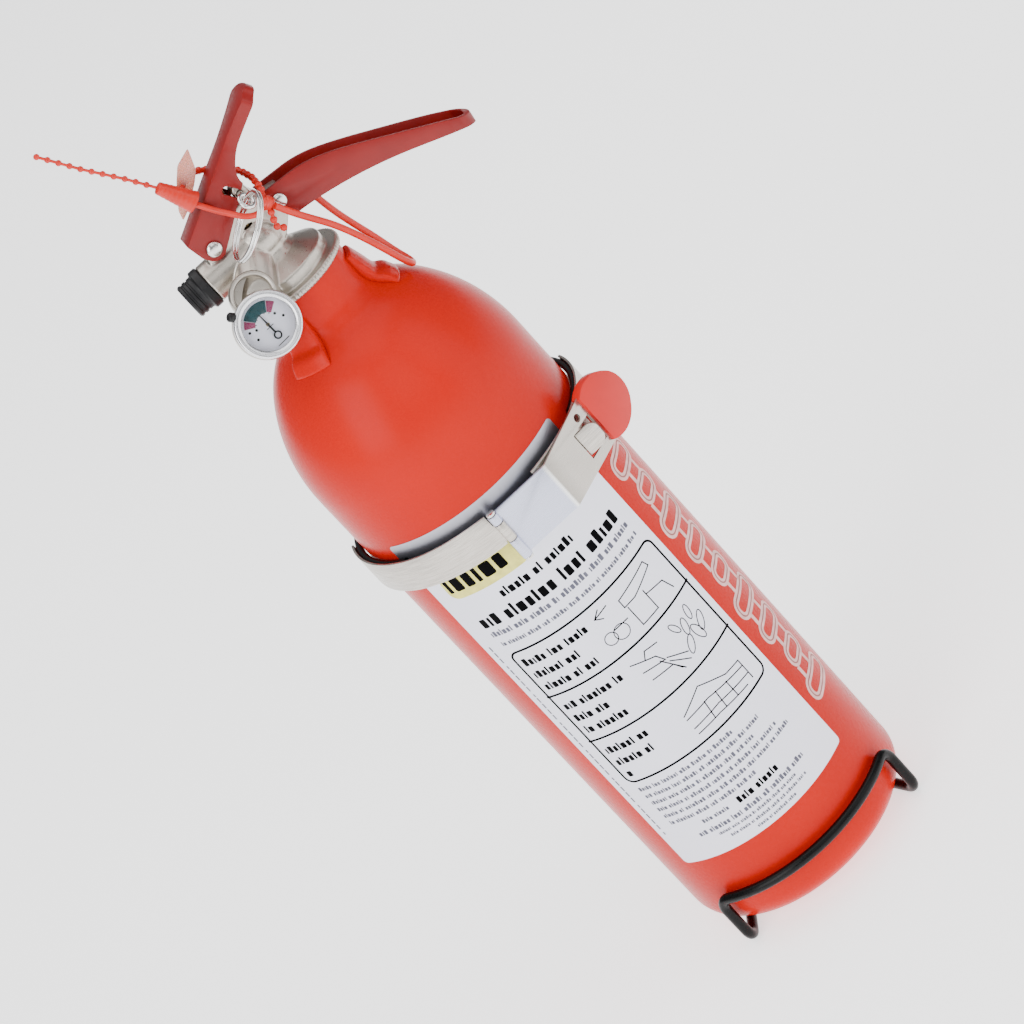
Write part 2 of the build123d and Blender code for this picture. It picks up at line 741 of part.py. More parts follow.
def make_dip_tube():
    """The dip tube: its ferrule is pressed into the valve and carries the spring."""
    foot = dip_tube_end - bottle_h
    body = disc(valve_bore, -thread_len, spring_low) + disc(dip_tube_d / 2, foot, spring_low - 1)
    bore = disc(ferrule_bore / 2, -thread_len - 2, spring_low + 1)
    return body - bore - disc(dip_tube_bore / 2, foot - 1, -thread_len)


def make_strainer():
    """The pick-up strainer, a cup with side slots on the dip tube's end."""
    low = dip_tube_end - 4
    tube_r = dip_tube_d / 2
    cup = disc(tube_r + 1.4, low, dip_tube_end + 12) - disc(tube_r, dip_tube_end, dip_tube_end + 13)
    cup -= disc(tube_r - 0.6, low + 1.4, dip_tube_end + 1)
    for i in range(6):
        cup -= Rot(0, 0, 60 * i) * Pos(tube_r + 1, 0, low + 2.6) * Box(4, 1.2, 1.6)
    return cup


# ---------------------------------------------------------------- gauge
def make_gauge_case():
    case = gauge_disc(gauge_r - bezel_t, -gauge_depth, -0.6)
    case -= gauge_disc(gauge_r - 2.6, -gauge_depth + 4.5, 1)
    return case - gauge_disc(gauge_stem_r, -gauge_depth - 1, -1)


def make_gauge_stem():
    return gauge_disc(gauge_stem_r, -gauge_depth - 9, -gauge_depth + 3.0)


def make_gauge_bezel():
    rim = gauge_disc(gauge_r, -3.0, 0.9) - gauge_disc(gauge_r - bezel_t, -4, -0.6)
    rim -= gauge_disc(gauge_r - 2.0, -4, 2)
    front = Axis(gauge_at, gauge_plane.z_dir)
    return fillet(rim.edges().filter_by(GeomType.CIRCLE).sort_by(front)[-1:], 0.4)


def make_gauge_dial():
    return gauge_disc(gauge_r - 2.7, -3.2, -2.6) - gauge_disc(0.75, -4, 0)


def make_gauge_lens():
    return gauge_disc(gauge_r - 2.0, -0.6, 0.3)


def make_gauge_needle():
    """The needle: a ring hub low on the dial and a thin pointer, on a short shaft."""
    hub = Pos(0, -needle_drop, -2.2) * Cylinder(1.3, 0.5)
    pointer = Polyline((-0.4, 0), (0.4, 0), (0.14, needle_len), (-0.14, needle_len), close=True)
    pointer = Pos(0, -needle_drop, -2.45) * extrude(make_face(pointer), amount=0.5)
    return gauge_plane * (hub + pointer)


# ---------------------------------------------------------------- safety pin and ring
ring_u = Vector(0.85, 0, 0.527).normalized()
ring_v = Vector(0, -1, 0)
ring_out = (ring_u * -0.55 + ring_v * 0.835).normalized()
ring_axis = (ring_u * 0.835 + ring_v * 0.55).normalized()
ring_normal = ring_axis.cross(ring_out).normalized()
pin_eye_y = -lever_w / 2 - pin_eye_out
pin_eye = Vector(pin_at[0], pin_eye_y, pin_at[1])
ring_centre = pin_eye + ring_out * ring_r


def make_pin():
    """The safety pin: a rod through the valve's head with an eye for the ring."""
    rod = cross_bar(pin_d / 2, pin_eye_y + eye_hole_r + eye_wire * 0.4, lever_w / 2 + pin_tip_out, *pin_at)
    rod = chamfer(rod.edges().filter_by(GeomType.CIRCLE).sort_by(Axis.Y)[-1:], 0.5)
    eye = Plane(pin_eye, z_dir=ring_axis) * Torus(eye_hole_r + eye_wire / 2, eye_wire / 2)
    return rod + eye


def make_ring():
    """The split ring: two turns of wire side by side."""
    turns = Part()
    for side in (-0.5, 0.5):
        middle = ring_centre + ring_normal * (side * ring_coil_pitch)
        turns += Plane(middle, z_dir=ring_normal) * Torus(ring_r, ring_wire / 2)
    return turns


# ---------------------------------------------------------------- seal and lanyard
bell_low = Vector(-8.8, -5.6, 51.2)
bell_high = Vector(-15.4, -5.6, 65.4)
bell_r = (4.2, 2.4)
tail_points = [(-15.4, -5.6, 65.4), (-22.0, -5.6, 76.6), (-31.4, -5.6, 90.8), (-40.6, -5.6, 106.4)]
tail_beads = 11
strap_d = 2.4
seal_points = [
    (-8.8, -7.4, 50.6),
    (-5.6, -10.2, 45.4),
    (-1.8, -14.2, 41.2),
    (1.6, -17.4, 37.2),
    (6.2, -16.0, 33.8),
    (10.2, -12.6, 34.4),
    (13.4, -7.6, 38.6),
    (13.6, 0.6, 41.2),
    (12.0, 8.2, 43.6),
    (6.6, 10.6, 49.4),
    (-0.6, 9.8, 55.0),
    (-6.2, 5.2, 57.6),
    (-9.0, -0.4, 56.6),
]
lanyard_d = 2.8
lanyard_points = [
    (12.6, -15.4, 32.0),
    (15.4, -13.6, 25.2),
    (19.4, -11.4, 17.4),
    (24.4, -9.8, 8.4),
    (28.6, -9.0, -1.8),
    (32.2, -8.6, -12.6),
    (35.2, -8.0, -22.6),
    (37.2, -5.0, -27.8),
    (37.4, 0.6, -27.6),
    (35.4, 3.4, -22.0),
    (33.2, 3.6, -12.0),
    (30.2, 3.0, -1.0),
    (27.8, 2.0, 9.4),
    (26.6, 1.4, 18.6),
]
knot_at = Vector(11.2, -13.4, 34.2)
cluster_points = [(10.0, -14.2, 30.6), (8.8, -14.4, 27.8), (8.0, -14.2, 24.8), (9.6, -14.0, 22.6)]
cluster_r = 1.45


def cord_path(points, name, diameter):
    """Straight runs joined by tangent arcs, each arc as large as its two runs allow."""
    spots = [Vector(*p) for p in points]
    radii = []
    for before, here, after in zip(spots, spots[1:], spots[2:]):
        first, second = here - before, after - here
        half_turn = math.radians(first.get_angle(second)) / 2
        radii.append(0.45 * min(first.length, second.length) / math.tan(half_turn))
    print(name, "radii", [round(r, 1) for r in radii])
    path = FilletPolyline(*spots, radius=radii)
    solid = tube(path, diameter)
    expected = math.pi * diameter**2 / 4 * path.length
    print(name, "length", round(path.length, 1), "volume ratio", round(solid.volume / expected, 4))
    return solid


seal_strap = cord_path(seal_points, "seal_strap", strap_d)


def make_seal_head():
    """The seal's locking head: a tapered bell with a foot that holds the flag."""
    axis = bell_high - bell_low
    bell = Plane(bell_low, z_dir=axis) * Cone(
        bell_r[0], bell_r[1], axis.length, align=(Align.CENTER, Align.CENTER, Align.MIN)
    )
    middle = bell_low + axis * 0.35
    foot = Pos(middle.X, middle.Y + 3.9, middle.Z) * Box(3.0, 4.2, 6.0)
    return bell + foot


flag_start = Vector(-16.0, 0, 48.6)
flag_end = Vector(1.4, 0, 64.4)
flag_w = 7.0
flag_y = 0.4
flag_t = 0.9


def make_seal_flag():
    """The seal's flat flag, standing behind the bell."""
    along = flag_end - flag_start
    middle = (flag_start + flag_end) * 0.5
    plane = Plane((middle.X, flag_y, middle.Z), x_dir=(along.X, 0, along.Z), z_dir=(0, 1, 0))
    outline = Rectangle(along.length, flag_w)
    return extrude(plane * outline, amount=flag_t) - make_seal_head() - seal_strap


def make_seal_tail():
    """The seal's pull tail: a thin string with beads."""
    path = Spline([Vector(*p) for p in tail_points])
    beads = [path @ (i / tail_beads) for i in range(tail_beads + 1)]
    tail = Part()
    for low, high in zip(beads, beads[1:]):
        tail += bar_between(tuple(low), tuple(high), 0.6)
        tail += Pos(*high) * Sphere(1.25)
    return tail - make_seal_head()


def make_cluster():
    """The beads on the seal's loose end."""
    solid = Part()
    for point in cluster_points:
        solid += Pos(*point) * Sphere(cluster_r)
    for a, b in zip(cluster_points, cluster_points[1:]):
        solid += bar_between(a, b, 0.7)
    return solid


def make_knot():
    """The collar that joins the lanyard and the loose end to the seal's strap."""
    return Pos(*knot_at) * Sphere(2.9)


parts = {
    "bottle_shell": lift * bottle_shell,
    "shoulder_lugs": [lift * ear for ear in make_lugs()],
    "label": lift * skin(label_t, label_low, strap_top + 5.5, label_turn),
    "side_decal": lift * skin(decal_t, decal_low, strap_bottom - 10.5, decal_turn),
    "valve_body": on_neck * make_valve_body(),
    "outlet_nozzle": on_neck * make_nozzle(),
    "stem_gland": on_neck * make_gland(),
    "neck_o_ring": on_neck * make_o_ring(),
    "carry_handle": on_neck * make_carry_handle(),
    "handle_rivet": on_neck * make_rivet(handle_rivet, handle_w / 2, 0),
    "pivot_rivet": on_neck * make_rivet(pivot, lever_w / 2, 0.1),
    "squeeze_lever": on_neck * make_squeeze_lever(),
    "valve_stem": on_neck * make_stem(),
    "stem_seal": on_neck * make_stem_seal(),
    "return_spring": on_neck * make_spring(),
    "dip_tube": on_neck * make_dip_tube(),
    "pickup_strainer": lift * make_strainer(),
    "gauge_case": on_neck * make_gauge_case(),
    "gauge_stem": on_neck * make_gauge_stem(),
    "gauge_bezel": on_neck * make_gauge_bezel(),
    "gauge_dial": on_neck * make_gauge_dial(),
    "gauge_lens": on_neck * make_gauge_lens(),
    "gauge_needle": on_neck * make_gauge_needle(),
    "safety_pin": on_neck * make_pin(),
    "pull_ring": on_neck * make_ring(),
    "seal_head": on_neck * make_seal_head(),
    "seal_flag": on_neck * make_seal_flag(),
    "seal_tail": on_neck * make_seal_tail(),
    "seal_strap": on_neck * seal_strap,
    "seal_knot": on_neck * make_knot(),
    "seal_bead_end": on_neck * make_cluster(),
    "lanyard": on_neck * cord_path(lanyard_points, "lanyard", lanyard_d),
    "wire_cradle": tube(cradle_path(), rail_d),
    "upper_hoop": lift * make_hoop(),
    "back_plate": lift * make_back_plate(),
    "strap_left": lift * make_strap_left(),
    "strap_right": lift * make_strap_right(),
    "keeper_tongue": lift * make_tongue(),
    "latch_pin": lift * make_latch_pin(),
    "latch_plate": lift * make_latch_plate(),
    "latch_grip": lift * make_latch_grip(),
}

os.makedirs("parts", exist_ok=True)
for name, shape in parts.items():
    if isinstance(shape, list):
        shape = Compound(children=shape)
    export_step(shape, f"parts/{name}.step")
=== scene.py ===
import math
from operator import attrgetter

import bmesh
import bpy
from bpy.props import FloatProperty, FloatVectorProperty, IntProperty, PointerProperty
from mathutils import Matrix, Vector


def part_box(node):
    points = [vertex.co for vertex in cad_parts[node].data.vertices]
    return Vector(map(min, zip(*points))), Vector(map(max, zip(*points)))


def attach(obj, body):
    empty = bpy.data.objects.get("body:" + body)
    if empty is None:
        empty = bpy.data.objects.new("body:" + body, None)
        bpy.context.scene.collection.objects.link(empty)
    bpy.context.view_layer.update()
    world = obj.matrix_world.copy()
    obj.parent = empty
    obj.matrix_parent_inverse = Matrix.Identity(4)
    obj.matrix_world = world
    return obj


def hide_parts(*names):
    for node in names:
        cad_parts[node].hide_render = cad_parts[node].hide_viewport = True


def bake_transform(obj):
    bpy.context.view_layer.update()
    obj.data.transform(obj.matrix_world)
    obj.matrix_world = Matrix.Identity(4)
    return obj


bl_info = {
    "name": "Bracketed fire extinguisher",
    "version": (1, 0, 0),
    "blender": (4, 5, 0),
    "location": "3D view > Sidebar > Extinguisher",
    "description": "Builds the finished pieces of a hand-held fire extinguisher round its CAD frame",
    "category": "Mesh",
}

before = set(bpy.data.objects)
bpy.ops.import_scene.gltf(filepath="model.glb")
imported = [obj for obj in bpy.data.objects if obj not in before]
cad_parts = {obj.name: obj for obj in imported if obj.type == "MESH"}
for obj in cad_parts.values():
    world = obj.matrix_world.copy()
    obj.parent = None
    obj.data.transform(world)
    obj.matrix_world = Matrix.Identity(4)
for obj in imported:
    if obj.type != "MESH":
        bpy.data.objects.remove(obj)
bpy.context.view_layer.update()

# Places and sizes that come from the frame, in metres.
mm = 0.001
bottle_low, bottle_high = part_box("bottle_shell")
base_z = bottle_low.z
bottle_r = bottle_high.x
neck_top = bottle_high.z
foil_t = 0.2 * mm
foil_r = bottle_r + foil_t
straight_top = base_z + 256 * mm
neck_r = 21 * mm
neck_blend = 10 * mm
shoulder_rise = 62 * mm


def at(x, y, z):
    """A point given in millimetres from the bottle's base."""
    return Vector((x * mm, y * mm, z * mm + base_z))


def in_mm(points):
    """Pairs given in millimetres, in metres."""
    return [(a * mm, b * mm) for a, b in points]


# ---------------------------------------------------------------- settings
def colour_setting(name, description, default):
    return FloatVectorProperty(
        name=name, description=description, default=default, subtype="COLOR", size=3, min=0.0, max=1.0
    )


def length_setting(name, description, default):
    return FloatProperty(name=name, description=description, default=default, unit="LENGTH", min=0.0)


class BottleSettings(bpy.types.PropertyGroup):
    paint: colour_setting("Paint", "Gloss paint on the bottle", (0.56, 0.010, 0.004))
    steps: IntProperty(name="Steps", description="Steps round the bottle", default=224, min=48)
    corner: length_setting("Base corner", "Radius of the base's corner", 12 * mm)


class PrintSettings(bpy.types.PropertyGroup):
    foil: colour_setting("Foil", "Satin foil of the label", (0.74, 0.74, 0.83))
    ink: colour_setting("Ink", "Dark print on the label", (0.001, 0.001, 0.0015))
    faint: colour_setting("Faint ink", "Small print on the label", (0.13, 0.13, 0.17))
    shade: colour_setting("Shade", "Foil in the strap's shade", (0.10, 0.10, 0.125))
    patch: colour_setting("Patch", "Highlight behind the heading", (0.86, 0.80, 0.22))
    decal: colour_setting("Decal", "Outlines on the bottle's side", (0.88, 0.55, 0.52))
    line: length_setting("Line", "Width of the frame's line", 0.95 * mm)


class ValveSettings(bpy.types.PropertyGroup):
    nickel: colour_setting("Nickel", "Satin plate on the valve", (0.50, 0.46, 0.405))
    enamel: colour_setting("Enamel", "Paint on the two levers", (0.235, 0.007, 0.006))
    grid: length_setting("Grid", "How finely the casting's skin is melted", 0.42 * mm)
    bead_count: IntProperty(name="Beads", description="Beads round the flange", default=84, min=12)


class GaugeSettings(bpy.types.PropertyGroup):
    face: colour_setting("Face", "Dial face", (0.80, 0.79, 0.88))
    band: colour_setting("Band", "Middle of the dial's arc", (0.02, 0.075, 0.085))
    band_end: colour_setting("Band ends", "Ends of the dial's arc", (0.30, 0.05, 0.12))
    radius: length_setting("Radius", "Outer radius of the bezel", 13.2 * mm)


class SealSettings(bpy.types.PropertyGroup):
    plastic: colour_setting("Plastic", "Plastic of the seal and lanyard", (0.62, 0.018, 0.007))
    strap_d: length_setting("Strap", "Diameter of the seal's strap", 2.4 * mm)
    lanyard_d: length_setting("Lanyard", "Diameter of the lanyard", 2.8 * mm)


class BracketSettings(bpy.types.PropertyGroup):
    band: colour_setting("Band", "Brushed band", (0.60, 0.555, 0.50))
    latch: colour_setting("Latch", "Brushed latch plate", (0.55, 0.57, 0.70))
    # Painted highlight: the crease colour is a bright line painted along the latch plate's bend.
    crease_highlight: colour_setting("Crease", "Bright line along the latch plate's bend", (0.92, 0.92, 0.90))
    grip: colour_setting("Grip", "Dipped grip on the latch", (0.62, 0.009, 0.006))
    wire: colour_setting("Wire", "Coating of the wires", (0.003, 0.003, 0.003))


class StageSettings(bpy.types.PropertyGroup):
    floor: colour_setting("Floor", "Colour of the floor", (0.93, 0.93, 0.93))
    lamp: FloatProperty(name="Lamps", description="Power of the soft lamps", default=1.0, min=0.0)
    roll: FloatProperty(name="Roll", description="Camera roll", default=math.radians(42.7), unit="ROTATION")
    dip: FloatProperty(name="Dip", description="Camera's dip", default=math.radians(24.58), unit="ROTATION")
    lens: FloatProperty(name="Lens", description="Focal length in millimetres", default=160.07, min=1.0)


class ExtinguisherSettings(bpy.types.PropertyGroup):
    bottle: PointerProperty(name="Bottle", description="The bottle", type=BottleSettings)
    print: PointerProperty(name="Print", description="Label and decal", type=PrintSettings)
    valve: PointerProperty(name="Valve", description="Valve and levers", type=ValveSettings)
    gauge: PointerProperty(name="Gauge", description="Pressure gauge", type=GaugeSettings)
    seal: PointerProperty(name="Seal", description="Seal and lanyard", type=SealSettings)
    bracket: PointerProperty(name="Bracket", description="Bracket", type=BracketSettings)
    stage: PointerProperty(name="Stage", description="Floor, lamps and camera", type=StageSettings)


# ---------------------------------------------------------------- finishes
def shader(name, **sockets):
    """A new material and its Principled shader. Socket names have their spaces as underscores."""
    material = bpy.data.materials.new(name)
    material.use_nodes = True
    principled = material.node_tree.nodes["Principled BSDF"]
    for socket, value in sockets.items():
        principled.inputs[socket.replace("_", " ")].default_value = value
    return material, principled


def grain(material, size, stretch=(1, 1, 1), detail=3.0):
    """Noise on object coordinates, with features about size metres across."""
    nodes, links = material.node_tree.nodes, material.node_tree.links
    place = nodes.new("ShaderNodeTexCoord")
    mapping = nodes.new("ShaderNodeMapping")
    mapping.inputs["Scale"].default_value = stretch
    noise = nodes.new("ShaderNodeTexNoise")
    noise.inputs["Scale"].default_value = 1 / size
    noise.inputs["Detail"].default_value = detail
    links.new(place.outputs["Object"], mapping.inputs["Vector"])
    links.new(mapping.outputs["Vector"], noise.inputs["Vector"])
    return noise.outputs["Fac"]


def shade_by(material, principled, factor, deep, light, low=0.3, high=0.7):
    """Base colour between deep and light."""
    nodes, links = material.node_tree.nodes, material.node_tree.links
    ramp = nodes.new("ShaderNodeValToRGB")
    ramp.color_ramp.elements[0].position = low
    ramp.color_ramp.elements[0].color = (*deep, 1)
    ramp.color_ramp.elements[1].position = high
    ramp.color_ramp.elements[1].color = (*light, 1)
    links.new(factor, ramp.inputs["Fac"])
    links.new(ramp.outputs["Color"], principled.inputs["Base Color"])


def gloss_by(material, principled, factor, smooth, rough):
    """Roughness between smooth and rough."""
    nodes, links = material.node_tree.nodes, material.node_tree.links
    spread = nodes.new("ShaderNodeMapRange")
    spread.inputs["From Min"].default_value = 0.3
    spread.inputs["From Max"].default_value = 0.7
    spread.inputs["To Min"].default_value = smooth
    spread.inputs["To Max"].default_value = rough
    links.new(factor, spread.inputs["Value"])
    links.new(spread.outputs["Result"], principled.inputs["Roughness"])


def relief_by(material, principled, factor, height):
    """A bump height metres deep."""
    nodes, links = material.node_tree.nodes, material.node_tree.links
    bump = nodes.new("ShaderNodeBump")
    bump.inputs["Strength"].default_value = 1.0
    bump.inputs["Distance"].default_value = height
    links.new(factor, bump.inputs["Height"])
    links.new(bump.outputs["Normal"], principled.inputs["Normal"])


def dimmer(colour, share):
    return tuple(c * share for c in colour)


def finish(name, light, share, patch, gloss, tooth, height, stretch=(1, 1, 1), **sockets):
    """A finish: colour drifts over patch metres, gloss and relief over tooth metres."""
    material, principled = shader(name, **sockets)
    shade_by(material, principled, grain(material, patch, stretch, 2.0), dimmer(light, share), light)
    fine = grain(material, tooth, stretch)
    gloss_by(material, principled, fine, *gloss)
    relief_by(material, principled, fine, height)
    return material


def colour_along(material, axis, start, end, stops):
    """Base colour through stops, the first at start and the last at end, along an axis of the object."""
    nodes, links = material.node_tree.nodes, material.node_tree.links
    place = nodes.new("ShaderNodeTexCoord")
    split = nodes.new("ShaderNodeSeparateXYZ")
    spread = nodes.new("ShaderNodeMapRange")
    spread.inputs["From Min"].default_value = start
    spread.inputs["From Max"].default_value = end
    ramp = nodes.new("ShaderNodeValToRGB")
    marks = ramp.color_ramp.elements
    marks[0].color = (*stops[0][1], 1)
    marks[-1].color = (*stops[-1][1], 1)
    for position, colour in stops[1:-1]:
        marks.new(position).color = (*colour, 1)
    links.new(place.outputs["Object"], split.inputs["Vector"])
    links.new(split.outputs[axis], spread.inputs["Value"])
    links.new(spread.outputs["Result"], ramp.inputs["Fac"])
    links.new(ramp.outputs["Color"], nodes["Principled BSDF"].inputs["Base Color"])


# Each finish: its colour or the setting that holds it, the share its darker patches keep, the patches' size,
# the range of its roughness, the grain's size, relief and stretch, and other sockets. Sizes are in millimetres.
even = (1, 1, 1)
looks = {
    "bottle_paint": ("bottle.paint", 0.86, 60, (0.24, 0.31), 2.4, 0.0008, even, {"Specular_IOR_Level": 0.09}),
    "label_foil": ("print.foil", 0.93, 30, (0.28, 0.38), 0.9, 0.002, (1, 1, 0.25), {"Metallic": 0.80}),
    "nickel_plate": ("valve.nickel", 0.86, 9, (0.26, 0.40), 0.7, 0.003, even, {"Metallic": 0.92}),
    "black_moulding": (
        (0.008, 0.008, 0.009), 0.6, 4, (0.38, 0.52), 0.5, 0.004, even, {"Specular_IOR_Level": 0.3},
    ),
    "turned_brass": ((0.66, 0.50, 0.24), 0.85, 6, (0.22, 0.34), 0.5, 0.004, (1, 1, 6), {"Metallic": 1.0}),
    "black_rubber": ((0.018, 0.018, 0.018), 0.6, 3, (0.60, 0.78), 0.5, 0.010, even, {}),
    "lever_enamel": ("valve.enamel", 0.82, 12, (0.28, 0.40), 1.4, 0.003, even, {"Specular_IOR_Level": 0.32}),
    "polished_steel": ((0.76, 0.74, 0.71), 0.88, 3, (0.14, 0.26), 0.5, 0.003, even, {"Metallic": 1.0}),
    "bright_wire": ((0.80, 0.79, 0.77), 0.86, 4, (0.10, 0.20), 0.6, 0.003, even, {"Metallic": 1.0}),
    "tube_nylon": ((0.78, 0.78, 0.72), 0.92, 9, (0.38, 0.48), 0.8, 0.006, even, {"Subsurface_Weight": 0.15}),
    "bezel_chrome": ((0.80, 0.80, 0.82), 0.92, 5, (0.24, 0.32), 0.6, 0.002, even, {"Metallic": 1.0}),
    "dial_white": ("gauge.face", 0.95, 5, (0.42, 0.52), 0.5, 0.001, even, {}),
    "lens_glass": (
        (0.98, 0.99, 1.0), 0.99, 8, (0.01, 0.03), 3, 0.0005, even, {"Transmission_Weight": 1.0, "IOR": 1.25},
    ),
    "seal_plastic": ("seal.plastic", 0.86, 5, (0.28, 0.38), 0.8, 0.002, even, {"Specular_IOR_Level": 0.35}),
    "flag_plastic": (
        (0.90, 0.28, 0.24), 0.90, 5, (0.22, 0.32), 0.8, 0.006, even,
        {"Subsurface_Weight": 0.35, "Transmission_Weight": 0.25},
    ),
    "brushed_band": ("bracket.band", 0.72, 9, (0.22, 0.40), 5, 0.004, (1, 1, 22), {"Metallic": 1.0}),
    "brushed_latch": ("bracket.latch", 0.86, 12, (0.24, 0.36), 6, 0.003, (1, 1, 26), {"Metallic": 0.9}),
    "dipped_vinyl": ("bracket.grip", 0.92, 8, (0.30, 0.40), 2.2, 0.004, even, {"Specular_IOR_Level": 0.3}),
    "wire_coating": ("bracket.wire", 0.6, 6, (0.24, 0.36), 1.0, 0.003, even, {"Specular_IOR_Level": 0.16}),
    "floor_paper": (
        "stage.floor", 0.985, 300, (0.70, 0.80), 4, 0.010, even,
        {"Emission_Color": (1, 1, 1, 1), "Emission_Strength": 1.5},
    ),
}


def look(name, s=None):
    """The finish of that name, from its row and the settings."""
    colour, share, patch, gloss, tooth, height, stretch, sockets = looks[name]
    light = attrgetter(colour)(s) if isinstance(colour, str) else colour
    return finish(name, light, share, patch * mm, gloss, tooth * mm, height * mm, stretch, **sockets)


def print_ink(name, colour):
    return finish(name, colour, 0.75, 4 * mm, (0.45, 0.60), 0.4 * mm, 0.001 * mm, Specular_IOR_Level=0.03)


def label_foil(s):
    """Brushed silver foil, darker where the strap's shade falls on it."""
    material = look("label_foil", s)
    foil, shade = s.print.foil, s.print.shade
    shade_low, shade_high = base_z + 213 * mm, base_z + 234 * mm
    stops = ((0.0, foil), (0.3, shade), (0.62, shade), (1.0, dimmer(foil, 0.55)))
    colour_along(material, "Z", shade_low, shade_high, stops)
    return material


def brushed_latch(s):
    """Brushed plate, with a painted highlight along its crease and painted shade on the bent part past it,
    which is also warmer.
    """
    material = look("brushed_latch", s)
    flat, crease_highlight, bent = s.bracket.latch, s.bracket.crease_highlight, s.bracket.band
    # Painted light: the bright stop is a painted highlight on the crease, and the dimmed band colour past it is
    # painted shade on the bent part.
    stops = ((0.0, flat), (0.30, flat), (0.42, crease_highlight), (0.50, dimmer(bent, 0.62)), (1.0, dimmer(bent, 0.8)))
    flat_x, bent_x = 16 * mm, 27 * mm
    colour_along(material, "X", flat_x, bent_x, stops)
    return material


# ---------------------------------------------------------------- mesh tools
def soften(bm, width, segments=2, sharper_than=32):
    """Rounds every edge that turns more than sharper_than degrees."""
    limit = math.radians(sharper_than)
    edges = [e for e in bm.edges if len(e.link_faces) == 2 and e.calc_face_angle(0) > limit]
    bmesh.ops.bevel(
        bm, geom=edges, offset=width, segments=segments, profile=0.5,
        affect="EDGES", clamp_overlap=True, material=-1,
    )


def linked(name, data):
    """A new object that holds the data, in the scene."""
    made = bpy.data.objects.new(name, data)
    bpy.context.scene.collection.objects.link(made)
    return made


def piece(name, bm, material, body, stands_for=(), smooth=38):
    """Makes the mesh an object on its CAD body, if one is given, in place of the nodes it stands for."""
    mesh = bpy.data.meshes.new(name)
    bm.to_mesh(mesh)
    bm.free()
    old_normals = mesh.attributes.get("custom_normal")
    if old_normals:
        mesh.attributes.remove(old_normals)
    mesh.materials.clear()
    mesh.materials.append(material)
    mesh.shade_smooth()
    mesh.set_sharp_from_angle(angle=math.radians(smooth))
    made = linked(name, mesh)
    if body:
        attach(made, body)
    if stands_for:
        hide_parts(*stands_for)
    return made


def copy_of(node):
    """The CAD node's mesh, with its loose triangles joined."""
    bm = bmesh.new()
    bm.from_mesh(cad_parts[node].data)
    bmesh.ops.remove_doubles(bm, verts=bm.verts, dist=0.002 * mm)
    return bm


def finished(node, name, material, body, rounding=0.0, smooth=38):
    """A smooth copy of a CAD node, with its edges rounded."""
    bm = copy_of(node)
    if rounding:
        bmesh.ops.dissolve_limit(
            bm, angle_limit=math.radians(0.4), verts=bm.verts, edges=bm.edges, delimit={"NORMAL"}
        )
        soften(bm, rounding)
    return piece(name, bm, material, body, (node,), smooth)


def cast(made, grid, passes):
    """Melts the piece's edges together, as on a casting or a weld."""
    remesh = made.modifiers.new("skin", "REMESH")
    remesh.mode = "VOXEL"
    remesh.voxel_size = grid
    remesh.use_smooth_shade = True
    rub = made.modifiers.new("rub", "SMOOTH")
    rub.factor = 0.5
    rub.iterations = passes


def turned(profile, steps=96, place=Matrix()):
    """A closed solid turned about Z from (radius, height) points, then put in place."""
    bm = bmesh.new()
    verts = [bm.verts.new((r, 0, z)) for r, z in profile]
    for a, b in zip(verts, verts[1:]):
        bm.edges.new((a, b))
    bmesh.ops.spin(
        bm, geom=bm.verts[:] + bm.edges[:], cent=(0, 0, 0), axis=(0, 0, 1),
        angle=math.tau, steps=steps, use_merge=True,
    )
    bmesh.ops.remove_doubles(bm, verts=bm.verts, dist=0.002 * mm)
    bmesh.ops.recalc_face_normals(bm, faces=bm.faces)
    bmesh.ops.transform(bm, matrix=place, verts=bm.verts)
    return bm


def axis_place(start, direction):
    """The matrix that stands Z along direction, from start."""
    turn = Vector(direction).to_track_quat("Z", "Y").to_matrix().to_4x4()
    return Matrix.Translation(start) @ turn


def dome(radius, height, lift=0.0, count=8):
    """Profile points of a dome from its rim to its pole."""
    return [
        (radius * math.cos(math.pi / 2 * i / count), lift + height * math.sin(math.pi / 2 * i / count))
        for i in range(count + 1)
    ]


def add_ball(bm, centre, radius, squash=1.0, segments=16):
    matrix = Matrix.Translation(centre) @ Matrix.Diagonal((radius, radius, radius * squash, 1))
    bmesh.ops.create_uvsphere(bm, u_segments=segments, v_segments=segments // 2, radius=1.0, matrix=matrix)


def add_rod(bm, start, end, radius, end_radius=None, segments=14):
    """A capped rod from start to end."""
    along = Vector(end) - Vector(start)
    matrix = axis_place((Vector(start) + Vector(end)) / 2, along)
    bmesh.ops.create_cone(
        bm, cap_ends=True, segments=segments, radius1=radius,
        radius2=radius if end_radius is None else end_radius, depth=along.length, matrix=matrix,
    )


def tangent_arc(start, heading, end, count=28):
    """Points of the arc that leaves start along heading and reaches end, and its last heading."""
    start, end, heading = Vector(start), Vector(end), Vector(heading).normalized()
    inward = Vector((-heading.y, heading.x))
    chord = end - start
    radius = chord.length_squared / (2 * chord.dot(inward))
    centre = start + inward * radius
    first = math.atan2(*(start - centre).yx)
    last = math.atan2(*(end - centre).yx)
    points = []
    for i in range(1, count + 1):
        a = first + (last - first) * i / count
        points.append(centre + Vector((math.cos(a), math.sin(a))) * abs(radius))
    spoke = (end - centre).normalized()
    return points, Vector((-spoke.y, spoke.x))


# ---------------------------------------------------------------- flat print, wrapped on the bottle
def flat_plate(bm, u0, u1, v0, v1, corner=0.0):
    """A flat rectangle with round corners. Returns its one face."""
    place = Matrix.Translation(((u0 + u1) / 2, (v0 + v1) / 2, 0)) @ Matrix.Diagonal((u1 - u0, v1 - v0, 1, 1))
    made = bmesh.ops.create_grid(bm, x_segments=1, y_segments=1, size=0.5, matrix=place)
    if corner:
        made = round_corners(bm, made["verts"], corner, 6)
    return max({f for v in made["verts"] for f in v.link_faces}, key=lambda f: f.calc_area())


